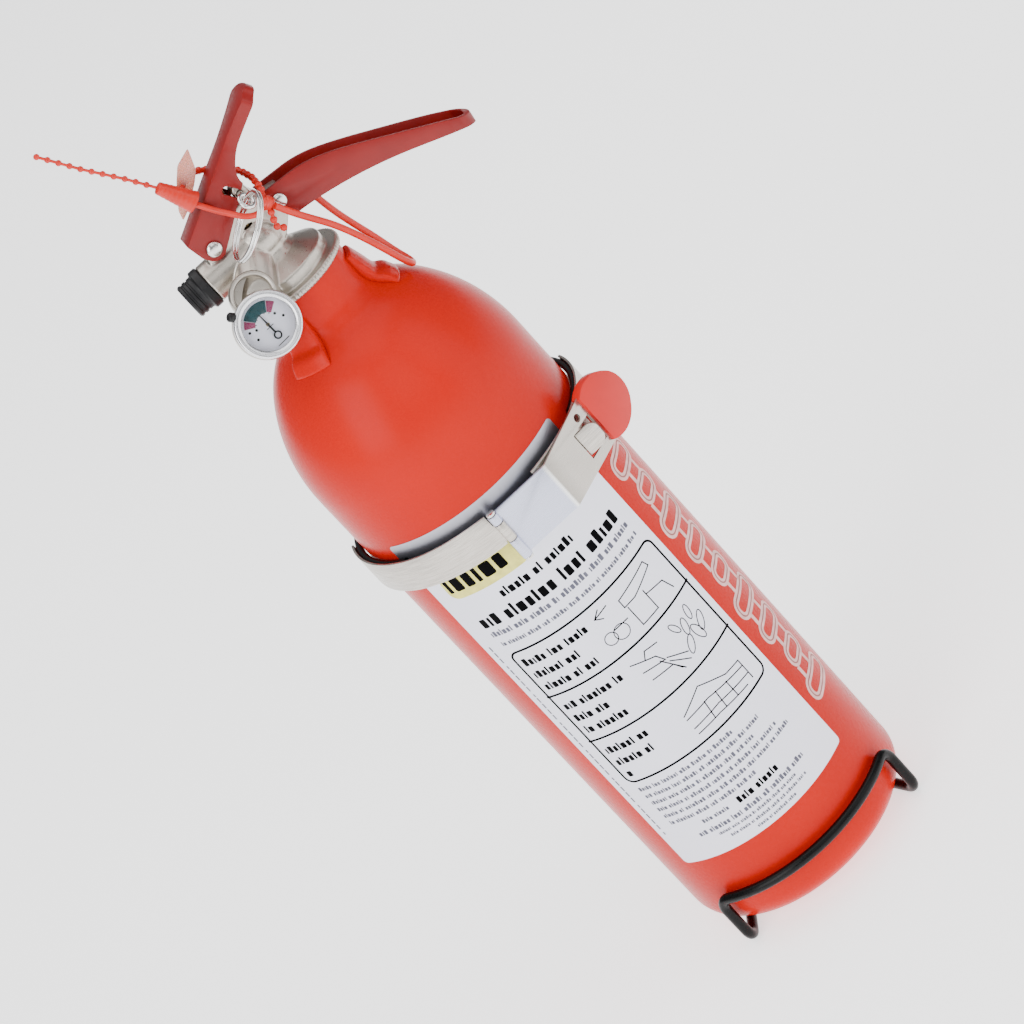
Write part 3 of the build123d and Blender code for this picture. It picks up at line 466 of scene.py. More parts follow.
def hollow(bm, face, width):
    """Leaves only a rim of that width."""
    bmesh.ops.inset_region(bm, faces=[face], thickness=width, use_even_offset=True, use_boundary=True)
    bmesh.ops.delete(bm, geom=[face], context="FACES_ONLY")


def flat_ring(bm, u, v, radius, width, squash=1.0, turn=0.0):
    """A flat ring, or a leaf when squashed."""
    place = Matrix.Translation((u, v, 0)) @ Matrix.Rotation(turn, 4, "Z") @ Matrix.Diagonal((1, squash, 1, 1))
    made = bmesh.ops.create_circle(bm, cap_ends=True, segments=20, radius=radius, matrix=place)
    hollow(bm, made["verts"][0].link_faces[0], width)


def stroke(bm, points, width):
    """Flat straight strokes through the points."""
    for (u0, v0), (u1, v1) in zip(points, points[1:]):
        run = Vector((u1 - u0, v1 - v0))
        place = (
            Matrix.Translation(((u0 + u1) / 2, (v0 + v1) / 2, 0))
            @ Matrix.Rotation(math.atan2(run.y, run.x), 4, "Z")
            @ Matrix.Diagonal((run.length + width, width, 1, 1))
        )
        bmesh.ops.create_grid(bm, x_segments=1, y_segments=1, size=0.5, matrix=place)


tick_heights = (1.0, 0.72, 0.72, 0.9, 0.72, 1.0, 0.72, 0.72, 0.94, 0.72, 0.72)
tick_widths = (0.50, 0.44, 0.20, 0.46, 0.40, 0.20, 0.54, 0.42, 0.22)
group_sizes = (5, 3, 7, 4, 6, 2, 8)


def tick_row(bm, u0, u1, v, height, seed=0):
    """A row of plain upright ticks in groups, which stands for a line of print."""
    gap = height * 0.17
    u, group, inside = u0, seed % len(group_sizes), 0
    count = seed
    while u + height * max(tick_widths) <= u1:
        share = tick_heights[count % len(tick_heights)]
        width = tick_widths[count % len(tick_widths)] * height
        flat_plate(bm, u, u + width, v, v + height * share, corner=width * 0.2)
        u += width + gap
        inside += 1
        count += 1
        if inside == group_sizes[group]:
            inside = 0
            group = (group + 1) % len(group_sizes)
            u += height * 0.4


def face_up(bm):
    for face in bm.faces:
        if face.normal.z < 0:
            face.normal_flip()


def thicken(bm, step):
    """Gives the flat faces a thickness along step."""
    made = bmesh.ops.extrude_face_region(bm, geom=bm.faces[:], use_keep_orig=True)
    moved = [g for g in made["geom"] if isinstance(g, bmesh.types.BMVert)]
    bmesh.ops.translate(bm, vec=step, verts=moved)
    bmesh.ops.recalc_face_normals(bm, faces=bm.faces)


def round_corners(bm, corners, offset, segments):
    return bmesh.ops.bevel(
        bm, geom=corners, offset=offset, segments=segments, profile=0.5,
        affect="VERTICES", clamp_overlap=True, material=-1,
    )


def wrap(bm, radius, thickness, step=2.0):
    """Bends the flat print round the bottle and gives it a thickness."""
    width = math.radians(step) * radius
    reach = int(max(abs(v.co.x) for v in bm.verts) / width) + 1
    for k in range(-reach, reach + 1):
        geom = bm.verts[:] + bm.edges[:] + bm.faces[:]
        bmesh.ops.bisect_plane(bm, geom=geom, dist=1e-7, plane_co=(k * width, 0, 0), plane_no=(1, 0, 0))
    face_up(bm)
    thicken(bm, (0, 0, thickness))
    for vert in bm.verts:
        angle = vert.co.x / radius
        out = radius + vert.co.z
        vert.co = Vector((out * math.sin(angle), -out * math.cos(angle), vert.co.y))
    return bm


def arc_u(degrees, radius=foil_r):
    """How far round the bottle an angle is."""
    return math.radians(degrees) * radius


# ---------------------------------------------------------------- stage
class Step:
    """What the operators share: each one makes its pieces from the settings."""

    def execute(self, context):
        self.make(context.scene.extinguisher)
        return {"FINISHED"}


class STAGE_OT_extinguisher(Step, bpy.types.Operator):
    """Makes the camera, floor and soft lamps"""

    bl_idname = "extinguisher.stage"
    bl_label = "Stage"

    floor_size = 60.0
    camera_place = (0, -1.641, 0.952)
    # Each lamp's name, place, width and height, and power. All face the target.
    target = Vector((0, 0, 0.2))
    lamps = (
        ("lamp_left", (-1.5, -1.5, 1.3), (1.3, 2.0), 46),
        ("lamp_right", (1.6, -1.0, 1.1), (1.2, 2.0), 13),
        ("lamp_top", (0.1, 0.2, 2.4), (2.6, 2.6), 50),
        ("lamp_front", (0.5, -2.6, 2.0), (1.6, 1.6), 14),
    )

    def make(self, s):
        self.add_camera(s.stage)
        bm = bmesh.new()
        bmesh.ops.create_grid(bm, x_segments=1, y_segments=1, size=self.floor_size / 2)
        mesh = bpy.data.meshes.new("floor")
        bm.to_mesh(mesh)
        bm.free()
        mesh.materials.append(look("floor_paper", s))
        floor = linked("floor", mesh)
        for name, place, size, power in self.lamps:
            self.add_lamp(name, place, size, power * s.stage.lamp)
        world = bpy.data.worlds.new("soft_room")
        world.use_nodes = True
        background = world.node_tree.nodes["Background"]
        background.inputs["Color"].default_value = (0.95, 0.96, 1.0, 1)
        background.inputs["Strength"].default_value = 0.30
        bpy.context.scene.world = world

    def add_camera(self, stage):
        camera = linked("camera", bpy.data.cameras.new("camera"))
        camera.data.sensor_width = 36.0
        camera.data.lens = stage.lens
        camera.data.clip_start = 0.05
        camera.data.clip_end = self.floor_size
        ahead = Vector((0, math.cos(stage.dip), -math.sin(stage.dip)))
        upright = Vector((0, math.sin(stage.dip), math.cos(stage.dip)))
        sideways = Vector((1, 0, 0))
        right = sideways * math.cos(stage.roll) - upright * math.sin(stage.roll)
        up = sideways * math.sin(stage.roll) + upright * math.cos(stage.roll)
        turn = Matrix((right, up, -ahead)).transposed().to_4x4()
        camera.matrix_world = Matrix.Translation(self.camera_place) @ turn
        bpy.context.scene.camera = camera

    def add_lamp(self, name, place, size, power):
        data = bpy.data.lights.new(name, "AREA")
        data.shape = "RECTANGLE"
        data.size, data.size_y = size
        data.energy = power
        lamp = linked(name, data)
        lamp.location = place
        lamp.rotation_mode = "QUATERNION"
        lamp.rotation_quaternion = (self.target - Vector(place)).to_track_quat("-Z", "Y")


# ---------------------------------------------------------------- cords of the seal
strap_route = [at(*place) for place in (
    (-8.8, -7.4, 382.6), (-5.6, -10.2, 377.4), (-1.8, -14.2, 373.2), (1.6, -17.4, 369.2),
    (6.2, -16.0, 365.8), (10.2, -12.6, 366.4), (13.4, -7.6, 370.6), (13.6, 0.6, 373.2),
    (12.0, 8.2, 375.6), (6.6, 10.6, 381.4), (-0.6, 9.8, 387.0), (-6.2, 5.2, 389.6),
    (-9.0, -0.4, 388.6),
)]
lanyard_route = [at(*place) for place in (
    (12.6, -15.4, 364.0), (15.4, -13.6, 357.2), (19.4, -11.4, 349.4), (24.4, -9.8, 340.4),
    (28.6, -9.0, 330.2), (32.2, -8.6, 319.4), (35.2, -8.0, 309.4), (37.2, -5.0, 304.2),
    (37.4, 0.6, 304.4), (35.4, 3.4, 310.0), (33.2, 3.6, 320.0), (30.2, 3.0, 331.0),
    (27.8, 2.0, 341.4), (26.6, 1.4, 350.6),
)]
strap_length = 84.5 * mm
lanyard_length = 118.8 * mm


class CORDS_OT_extinguisher(Step, bpy.types.Operator):
    """Makes the seal's strap and the lanyard"""

    bl_idname = "extinguisher.cords"
    bl_label = "Seal strap and lanyard"

    def make(self, s):
        material = look("seal_plastic", s)
        for name, node, route, length, diameter, stiffness, lay in (
            ("seal_strap_cord", "seal_strap", strap_route, strap_length, s.seal.strap_d, "stiff", "taut"),
            ("lanyard_cord", "lanyard", lanyard_route, lanyard_length, s.seal.lanyard_d, "medium", "hanging"),
        ):
            data = bpy.data.curves.new(name, "CURVE")
            data.dimensions = "3D"
            data.resolution_u = 10
            data.bevel_depth = diameter / 2
            data.bevel_resolution = 5
            data.use_fill_caps = True
            spline = data.splines.new("NURBS")
            spline.points.add(len(route) - 1)
            for point, place in zip(spline.points, route):
                point.co = (*place, 1)
            spline.order_u = 3
            spline.use_endpoint_u = True
            data.materials.append(material)
            cord = linked(name, data)
            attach(cord, "extinguisher")
            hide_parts(node)


# ---------------------------------------------------------------- bottle
class BOTTLE_OT_extinguisher(Step, bpy.types.Operator):
    """Turns the bottle with its dished base, shoulder and neck, and finishes its three lugs"""

    bl_idname = "extinguisher.bottle"
    bl_label = "Bottle"

    def make(self, s):
        paint = look("bottle_paint", s)
        bm = turned(self.profile(s.bottle), s.bottle.steps)
        piece("bottle", bm, paint, "extinguisher", ("bottle_shell",), smooth=50)
        bm = copy_of("shoulder_lugs")
        bmesh.ops.scale(bm, vec=(0.97, 0.97, 1), verts=bm.verts)
        lugs = piece("neck_lugs", bm, paint, "extinguisher", ("shoulder_lugs",))
        cast(lugs, 0.6 * mm, 24)

    def profile(self, bottle):
        """From the dish's middle, round the outside, and back down inside the neck."""
        dish_r, dish_drop = 120 * mm, 118 * mm
        rim = math.sqrt(dish_r**2 - dish_drop**2)
        points = []
        for i in range(13):
            r = rim * i / 12
            points.append((r, base_z - dish_drop + math.sqrt(dish_r**2 - r**2)))
        corner = bottle.corner
        for i in range(17):
            a = math.pi / 2 * (i / 16 - 1)
            points.append((bottle_r - corner + corner * math.cos(a), base_z + corner + corner * math.sin(a)))
        for i in range(1, 13):
            points.append((bottle_r, base_z + corner + (straight_top - base_z - corner) * i / 12))
        turn = math.acos(neck_r / bottle_r)
        mid = (bottle_r * math.cos(turn * 0.6), straight_top + shoulder_rise * math.sin(turn * 0.6))
        meet = (neck_r, straight_top + shoulder_rise * math.sin(turn))
        lower, heading = tangent_arc((bottle_r, straight_top), (0, 1), mid)
        upper, heading = tangent_arc(mid, heading, meet)
        shoulder = [tuple(p) for p in lower + upper]
        blend_start = next(i for i, p in enumerate(shoulder) if p[0] < neck_r + neck_blend * 0.62)
        points += shoulder[:blend_start]
        a, corner_point, b = Vector(points[-1]), Vector(meet), Vector((neck_r, meet[1] + neck_blend * 0.62))
        for i in range(1, 13):
            t = i / 12
            points.append(tuple(a * (1 - t) ** 2 + corner_point * 2 * t * (1 - t) + b * t**2))
        points.append((neck_r, neck_top))
        inner = 16 * mm
        points += [(inner, neck_top), (inner, neck_top - 20 * mm), (0, neck_top - 20 * mm)]
        return points


# ---------------------------------------------------------------- label and decal
class LABEL_OT_extinguisher(Step, bpy.types.Operator):
    """Lays the foil label and its plain print on the bottle"""

    bl_idname = "extinguisher.label"
    bl_label = "Label"

    foil_edges = (-57.5, 41.5)
    frame_edges = (-48.0, 38.0)
    frame_z = (89.8, 169.0)
    dividers = (116.0, 142.9)

    def make(self, s):
        bm = bmesh.new()
        flat_plate(bm, arc_u(self.foil_edges[0]), arc_u(self.foil_edges[1]), self.z(42), self.z(234), 2 * mm)
        wrap(bm, bottle_r + 0.02 * mm, foil_t - 0.02 * mm)
        piece("label_foil", bm, label_foil(s), "extinguisher", ("label",))
        ink_r = foil_r + 0.01 * mm
        self.ink_piece("label_patch", self.patch(), ink_r, 0.02 * mm, s.print.patch)
        self.ink_piece("label_dark_print", self.dark_print(s.print.line), ink_r, 0.05 * mm, s.print.ink)
        self.ink_piece("label_faint_print", self.faint_print(), ink_r, 0.04 * mm, s.print.faint)

    def z(self, height):
        return base_z + height * mm

    def ink_piece(self, name, bm, radius, thickness, colour):
        wrap(bm, radius, thickness)
        piece(name, bm, print_ink(name, colour), "extinguisher")

    def patch(self):
        bm = bmesh.new()
        flat_plate(bm, arc_u(-49), arc_u(-6), self.z(201), self.z(213), 4 * mm)
        return bm

    def dark_print(self, line):
        bm = bmesh.new()
        left, right = (arc_u(a) for a in self.frame_edges)
        low, high = (self.z(h) for h in self.frame_z)
        hollow(bm, flat_plate(bm, left, right, low, high, 4 * mm), line)
        for height in self.dividers:
            stroke(bm, [(left, self.z(height)), (right, self.z(height))], line)
        tick_row(bm, arc_u(-47.5), arc_u(-13), self.z(204.5), 9.5 * mm, 2)
        tick_row(bm, arc_u(-28), arc_u(13), self.z(193.6), 4.4 * mm, 4)
        tick_row(bm, arc_u(-47), arc_u(36), self.z(183.8), 6.4 * mm, 1)
        for k, top in enumerate((self.frame_z[1], self.dividers[1], self.dividers[0])):
            for row, reach in enumerate(((-10, -19, -14), (-13, -24, -21), (-21, -22, -40))[k]):
                tick_row(bm, arc_u(-44.5), arc_u(reach), self.z(top - 8.6 - 7.0 * row), 4.0 * mm, k + 2 * row)
        tick_row(bm, arc_u(-13), arc_u(13), self.z(58.4), 3.6 * mm, 3)
        self.pin_drawing(bm, arc_u(12), self.z(155.5))
        self.spray_drawing(bm, arc_u(12), self.z(129))
        self.squeeze_drawing(bm, arc_u(12), self.z(102.5))
        return bm

    def faint_print(self):
        bm = bmesh.new()
        tick_row(bm, arc_u(-47), arc_u(36), self.z(178.6), 3.0 * mm, 2)
        tick_row(bm, arc_u(-46), arc_u(35), self.z(173.2), 2.2 * mm, 5)
        for k, reach in enumerate((6, 20, 12, 24, 28, 2)):
            tick_row(bm, arc_u(-46), arc_u(reach), self.z(84.6 - 4.1 * k), 2.2 * mm, k)
        tick_row(bm, arc_u(-32), arc_u(-16), self.z(59), 2.2 * mm, 3)
        for k, (start, end) in enumerate(((-38, 25), (-30, 14), (-26, 18), (-14, 8))):
            height = (2.6 if k == 0 else 1.6) * mm
            tick_row(bm, arc_u(start), arc_u(end), self.z(53.6 - 3.1 * k), height, k + 1)
        for k in range(34):
            v = self.z(60 + 3.4 * k)
            stroke(bm, [(arc_u(-54), v), (arc_u(-54), v + (1.9 if k % 5 else 0.8) * mm)], 0.7 * mm)
        return bm

    def sketch(self, bm, u, v, lines, width=0.5):
        for line in lines:
            stroke(bm, [(u + a * mm, v + b * mm) for a, b in line], width * mm)

    def pin_drawing(self, bm, u, v):
        """A lever head with its ring being drawn out to the left."""
        self.sketch(bm, u, v, [
            [(-4, 6), (14, 9), (15, 6), (2, 2), (-4, 2), (-4, 6)],
            [(-3, 1), (-3, -9), (6, -9), (6, 1)],
            [(6, -1), (15, -3), (17, -9)],
            [(-6, -2), (-13, -2)],
            [(-16, 7), (-9, 8.5)],
            [(-16, 7), (-12.6, 9.6)],
            [(-16, 7), (-13.0, 5.0)],
        ])
        flat_ring(bm, u - 11 * mm, v - 4.5 * mm, 3.6 * mm, 0.4 * mm)
        flat_ring(bm, u - 16 * mm, v - 4.0 * mm, 3.0 * mm, 0.4 * mm)

    def spray_drawing(self, bm, u, v):
        """A nozzle on the left sprays at flames on the right."""
        self.sketch(bm, u, v, [
            [(-18, 8), (-8, 4), (-6, 0), (-16, 2)],
            [(-15, -3), (-5, -4), (-3, -8)],
            [(-5, 0), (3, -5)],
            [(-5, -2), (2, -8)],
            [(-8, 1), (-2, -9)],
            [(-12, 6), (-10, 9), (-4, 8)],
        ])
        for du, dv, size, turn in (
            (6, -4, 4.2, 60), (9, 3, 4.0, 75), (12, -3, 4.6, 105),
            (14, 6, 3.6, 80), (16, -1, 4.4, 60), (5, 6, 3.4, 115),
        ):
            flat_ring(bm, u + du * mm, v + dv * mm, size * mm, 0.42 * mm, 0.42, math.radians(turn))

    def squeeze_drawing(self, bm, u, v):
        """Two handles being pressed together."""
        self.sketch(bm, u, v, [
            [(-16, 2), (-4, 8), (8, 2), (16, 1)],
            [(-16, 0), (-4, 1), (16, -2)],
            [(-16, -5), (-2, -4), (16, -6)],
            [(-16, -8), (-4, -7.5), (12, -9)],
            [(-6, 1), (-7, -7.5)],
            [(0, 0.6), (-0.6, -7.6)],
            [(6, -0.2), (6, -8.2)],
            [(16, 1), (16, -9)],
        ])


class DECAL_OT_extinguisher(Step, bpy.types.Operator):
    """Lays a column of outlined pills on the bottle's right side"""

    bl_idname = "extinguisher.decal"
    bl_label = "Side decal"

    # How many pills, their sides in degrees round the bottle, and how far in their ends are, in millimetres.
    count = 9
    edges = (47, 75)
    insets = (0, 4.0, 1.5)

    def make(self, s):
        pale, dark = bmesh.new(), bmesh.new()
        left, right = (arc_u(a, bottle_r) for a in self.edges)
        low, pitch, rim = base_z + 58 * mm, 16.2 * mm, 3.2 * mm
        inner_line_width, link = 0.6 * mm, 1.9 * mm
        for k in range(self.count):
            v0 = low + k * pitch
            v1 = v0 + pitch * 0.70
            inset = self.insets[k % 3] * mm
            corner = (v1 - v0) * 0.45
            hollow(pale, flat_plate(pale, left + inset, right - inset, v0, v1, corner), rim)
            # A dusky line is laid inside each pale outline, as a second, darker outline.
            step = rim * 0.42
            u0, u1 = left + inset + step, right - inset - step
            hollow(dark, flat_plate(dark, u0, u1, v0 + step, v1 - step, corner - step), inner_line_width)
            if k + 1 < self.count:
                for shift in (-5.5 * mm, 4.0 * mm):
                    middle = (left + right) / 2 + shift + (1.5 if k % 2 else -1.5) * mm
                    stroke(pale, [(middle, v1), (middle, v0 + pitch)], link)
        inner = bottle_r + 0.02 * mm
        wrap(pale, inner, 0.09 * mm)
        outline = print_ink("decal_outline", s.print.decal)
        piece("side_outlines", pale, outline, "extinguisher", ("side_decal",))
        # The dusky inner lines are a little thicker than the pale outlines, so they show over them.
        wrap(dark, inner, 0.13 * mm)
        inner_line_ink = print_ink("decal_inner_line", (0.36, 0.12, 0.11))
        piece("side_inner_lines", dark, inner_line_ink, "extinguisher")


# ---------------------------------------------------------------- valve
gauge_turn = math.radians(6)
gauge_tilt = math.radians(20)
gauge_out = Vector((
    math.sin(gauge_turn) * math.cos(gauge_tilt),
    -math.cos(gauge_turn) * math.cos(gauge_tilt),
    math.sin(gauge_tilt),
))
gauge_side = Vector((math.cos(gauge_turn), math.sin(gauge_turn), 0))
gauge_up = gauge_out.cross(gauge_side)
gauge_place = Matrix.Translation(at(-19.5, -31.0, 336.5)) @ Matrix(
    (gauge_side, gauge_up, gauge_out)
).transposed().to_4x4()
hub_drop = 5.4 * mm


class VALVE_OT_extinguisher(Step, bpy.types.Operator):
    """Finishes the valve's casting, its beaded flange, the nozzle and the inside parts"""

    bl_idname = "extinguisher.valve"
    bl_label = "Valve"

    def make(self, s):
        nickel = look("nickel_plate", s)
        casting = finished("valve_body", "valve_casting", nickel, "extinguisher")
        cast(casting, s.valve.grid, 5)
        self.flange_beads(s.valve, nickel)
        self.nozzle()
        self.boss_arch(nickel)
        self.blank_plug()
        inside = {
            "stem_gland": look("turned_brass"),
            "valve_stem": look("turned_brass"),
            "neck_o_ring": look("black_rubber"),
            "stem_seal": look("black_rubber"),
            "dip_tube": look("tube_nylon"),
            "pickup_strainer": look("tube_nylon"),
        }
        for node, material in inside.items():
            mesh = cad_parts[node].data
            mesh.materials.clear()
            mesh.materials.append(material)
        self.spring()

    def spring(self):
        """The return spring, a smooth copy of its CAD node on no body."""
        wire = look("bright_wire")
        coil = piece("coil_spring", copy_of("return_spring"), wire, None, ("return_spring",))
        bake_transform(coil)

    def flange_beads(self, valve, nickel):
        """A beaded rim round the flange's upper edge."""
        bm = bmesh.new()
        flange_r, bead_r = 22.6 * mm, 0.78 * mm
        z = neck_top + 1.6 * mm
        for i in range(valve.bead_count):
            a = math.tau * i / valve.bead_count
            add_ball(bm, (flange_r * math.cos(a), flange_r * math.sin(a), z), bead_r, 1.7, 10)
        piece("flange_beads", bm, nickel, "extinguisher")

    def nozzle(self):
        outlet = at(-26, 0, 353)
        collar = [
            (2.2, -13.8), (3.9, -13.8), (3.9, 0.02), (8.2, 0.02), (8.7, 0.5), (8.7, 3.2), (8.3, 3.7),
            (7.6, 3.9), (7.4, 4.4), (7.4, 5.6), (7.0, 5.9), (7.0, 6.4), (7.4, 6.7), (7.4, 7.8), (7.0, 8.1),
            (7.0, 8.6), (7.4, 8.9), (7.4, 9.8), (6.8, 10.5), (4.0, 10.5), (3.4, 10.1), (2.2, 4.0),
            (2.2, -13.8),
        ]
        bm = turned(in_mm(collar), 96, axis_place(outlet, (-1, 0, 0)))
        piece("spray_nozzle", bm, look("black_moulding"), "extinguisher", ("outlet_nozzle",))

    def boss_arch(self, nickel):
        """The open collar behind the gauge, whose arch shows over the bezel."""
        rim = [
            (7.2, -9.0), (8.9, -9.0), (9.3, -8.4), (9.3, -2.2), (8.9, -1.5), (8.2, -1.3), (7.6, -1.6),
            (7.3, -2.4), (7.1, -6.4), (0, -6.6), (0, -9.0), (7.2, -9.0),
        ]
        off_gauge = (4.4 * mm, 11.8 * mm, -3.6 * mm)
        bm = turned(in_mm(rim), 72, gauge_place @ Matrix.Translation(off_gauge))
        piece("boss_arch", bm, nickel, "extinguisher")

    def blank_plug(self):
        """The small black plug on the gauge's boss."""
        profile = [(0, 0), (1.9 * mm, 0)] + dome(1.9 * mm, 1.1 * mm, 1.6 * mm)
        bm = turned(profile, 32, axis_place(at(-27.5, -27.5, 346.6), (-0.55, -0.25, 0.8)))
        piece("boss_plug", bm, look("black_moulding"), "extinguisher")


# ---------------------------------------------------------------- levers
class LEVERS_OT_extinguisher(Step, bpy.types.Operator):
    """Finishes the squeeze lever, the carry handle and their rivets"""

    bl_idname = "extinguisher.levers"
    bl_label = "Levers and rivets"

    def make(self, s):
        enamel = look("lever_enamel", s)
        finished("squeeze_lever", "upper_lever", enamel, "lever", 0.5 * mm)
        finished("carry_handle", "lower_handle", enamel, "extinguisher", 0.5 * mm)
        steel = look("polished_steel")
        for node, name in (("handle_rivet", "front_rivet"), ("pivot_rivet", "rear_rivet")):
            low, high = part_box(node)
            half = (high.y - low.y) / 2
            head_r, head_h, shank_r = (high.x - low.x) / 2, 1.35 * mm, 2.45 * mm
            cap = dome(head_r, head_h, half - head_h)
            shank = [(shank_r, head_h - half), (shank_r, half - head_h)]
            profile = [(r, -z) for r, z in reversed(cap)] + shank + cap
            bm = turned(profile, 48, axis_place((low + high) / 2, (0, 1, 0)))
            piece(name, bm, steel, "extinguisher", (node,))


# ---------------------------------------------------------------- gauge
class GAUGE_OT_extinguisher(Step, bpy.types.Operator):
    """Makes the gauge's bezel, lens, printed dial and needle"""

    bl_idname = "extinguisher.gauge"
    bl_label = "Gauge"

    def make(self, s):
        r = s.gauge.radius / mm
        chrome = look("bezel_chrome")
        rim = [
            (r - 1.4, -3.0), (r - 0.15, -3.0), (r, -2.8), (r, -0.4), (r - 0.12, 0.3), (r - 0.45, 0.75),
            (r - 0.9, 0.9), (r - 1.7, 0.85), (r - 2.5, 0.45), (r - 2.9, 0.0), (r - 2.9, -0.55),
            (r - 1.4, -0.6), (r - 1.4, -3.0),
        ]
        bm = turned(in_mm(rim), 128, gauge_place)
        piece("bezel_ring", bm, chrome, "extinguisher", ("gauge_bezel",))
        lens_r = r - 3.0
        bulge = in_mm(((0, -0.5), (lens_r, -0.5), (lens_r, -0.1)))
        bulge += dome(lens_r * mm, 0.75 * mm, -0.1 * mm, 10)[1:]
        bm = turned(bulge, 96, gauge_place)
        piece("dome_lens", bm, look("lens_glass"), "extinguisher", ("gauge_lens",))
        nickel = bpy.data.materials["nickel_plate"]
        finished("gauge_case", "gauge_pan", nickel, "extinguisher")
        face = [(0.8, -3.2), (r - 2.75, -3.2), (r - 2.75, -2.62), (0.8, -2.62), (0.8, -3.2)]
        bm = turned(in_mm(face), 96, gauge_place)
        piece("dial_plate", bm, look("dial_white", s), "extinguisher", ("gauge_dial",))
        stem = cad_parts["gauge_stem"].data
        stem.materials.clear()
        stem.materials.append(look("turned_brass"))
        self.print_dial(s)
        self.needle()

    def print_dial(self, s):
        middle, ends, ink = bmesh.new(), bmesh.new(), bmesh.new()
        self.band(middle, 4.5, 9.2, -38, 38)
        for side in (-1, 1):
            low, high = sorted((39 * side, 60 * side))
            self.band(ends, 4.7, 9.0, low, high)
        for angle in range(-50, 51, 25):
            self.band(ink, 4.1, 4.7, angle - 2, angle + 2)
        for x, y in ((-6.6, -1.6), (6.6, -1.6), (-4.6, 1.4), (4.8, 1.2), (-7.2, 2.4)):
            self.dot(ink, x, y, 0.55)
        for y, half in ((-8.6, 2.6), (-1.2, 1.5)):
            self.line(ink, -half, half, y)
        for name, bm, colour in (
            ("dial_band", middle, s.gauge.band),
            ("dial_band_ends", ends, s.gauge.band_end),
            ("dial_marks", ink, s.print.ink),
        ):
            self.raise_print(bm)
            piece(name, bm, print_ink(name, colour), "extinguisher")

    def band(self, bm, inner, outer, start, end):
        """An arc round the dial's middle, in degrees from its top."""
        a = bm.verts.new((0, inner * mm, 0))
        b = bm.verts.new((0, outer * mm, 0))
        edge = bm.edges.new((a, b))
        turn = Matrix.Rotation(-math.radians(start), 3, "Z")
        bmesh.ops.rotate(bm, verts=[a, b], cent=(0, 0, 0), matrix=turn)
        bmesh.ops.spin(
            bm, geom=[a, b, edge], cent=(0, 0, 0), axis=(0, 0, -1),
            angle=math.radians(end - start), steps=max(2, int((end - start) / 3)),
        )

    def dot(self, bm, x, y, r):
        place = Matrix.Translation((x * mm, y * mm, 0))
        bmesh.ops.create_circle(bm, cap_ends=True, segments=14, radius=r * mm, matrix=place)

    def line(self, bm, start, end, y):
        stroke(bm, [(start * mm, y * mm), (end * mm, y * mm)], 0.3 * mm)

    def raise_print(self, bm):
        """Gives the print a thickness and lays it on the dial."""
        face_up(bm)
        thicken(bm, (0, 0, 0.05 * mm))
        bmesh.ops.transform(bm, matrix=gauge_place @ Matrix.Translation((0, 0, -2.61 * mm)), verts=bm.verts)

    def needle(self):
        """A thin pointer with an open ring hub."""
        bm = bmesh.new()
        hub = Matrix.Translation((0, -hub_drop, 0))
        made = bmesh.ops.create_circle(bm, cap_ends=True, segments=32, radius=1.65 * mm, matrix=hub)
        hollow(bm, made["verts"][0].link_faces[0], 0.6 * mm)
        start, end = -hub_drop + 1.2 * mm, -hub_drop + 10.3 * mm
        place = Matrix.Translation((0, (start + end) / 2, 0)) @ Matrix.Diagonal((0.8 * mm, end - start, 1, 1))
        made = bmesh.ops.create_grid(bm, x_segments=1, y_segments=1, size=0.5, matrix=place)
        tips = [v for v in made["verts"] if v.co.y > (start + end) / 2]
        bmesh.ops.scale(bm, vec=(0.5, 1, 1), verts=tips)
        thicken(bm, (0, 0, 0.25 * mm))
        bmesh.ops.transform(bm, matrix=gauge_place @ Matrix.Translation((0, 0, -2.3 * mm)), verts=bm.verts)
        ink = print_ink("needle_black", (0.01, 0.01, 0.012))
        piece("pointer", bm, ink, "needle", ("gauge_needle",))


# ---------------------------------------------------------------- safety pin and ring
pin_eye = at(6.0, -15.6, 373.0)
ring_u = Vector((0.85, 0, 0.527)).normalized()
ring_v = Vector((0, -1, 0))
ring_out = (ring_u * -0.55 + ring_v * 0.835).normalized()
ring_axis = (ring_u * 0.835 + ring_v * 0.55).normalized()
ring_normal = ring_axis.cross(ring_out).normalized()
ring_r = 13.4 * mm
ring_wire_r = 0.65 * mm


class PIN_OT_extinguisher(Step, bpy.types.Operator):
    """Finishes the safety pin and winds the split ring"""

    bl_idname = "extinguisher.pin"
    bl_label = "Pin and ring"

    def make(self, s):
        steel = look("bright_wire")
        finished("safety_pin", "pull_pin", steel, "pin")
        bm = bmesh.new()
        pitch, steps = 1.25 * mm, 96
        section = Matrix.Translation((ring_r, 0, -pitch)) @ Matrix.Rotation(math.pi / 2, 4, "X")
        made = bmesh.ops.create_circle(bm, cap_ends=True, segments=14, radius=ring_wire_r, matrix=section)
        verts = made["verts"]
        geom = verts + verts[0].link_faces[:] + list({e for v in verts for e in v.link_edges})
        bmesh.ops.spin(
            bm, geom=geom, cent=(0, 0, 0), axis=(0, 0, 1), dvec=(0, 0, pitch / steps),
            angle=2 * math.tau, steps=2 * steps,
        )
        bmesh.ops.recalc_face_normals(bm, faces=bm.faces)
        centre = pin_eye + ring_out * ring_r
        inward = ring_out * -1
        turn = Matrix((inward, ring_normal.cross(inward), ring_normal)).transposed().to_4x4()
        place = Matrix.Translation(centre) @ turn
        bmesh.ops.transform(bm, matrix=place, verts=bm.verts)
        piece("split_ring", bm, steel, "ring", ("pull_ring",))


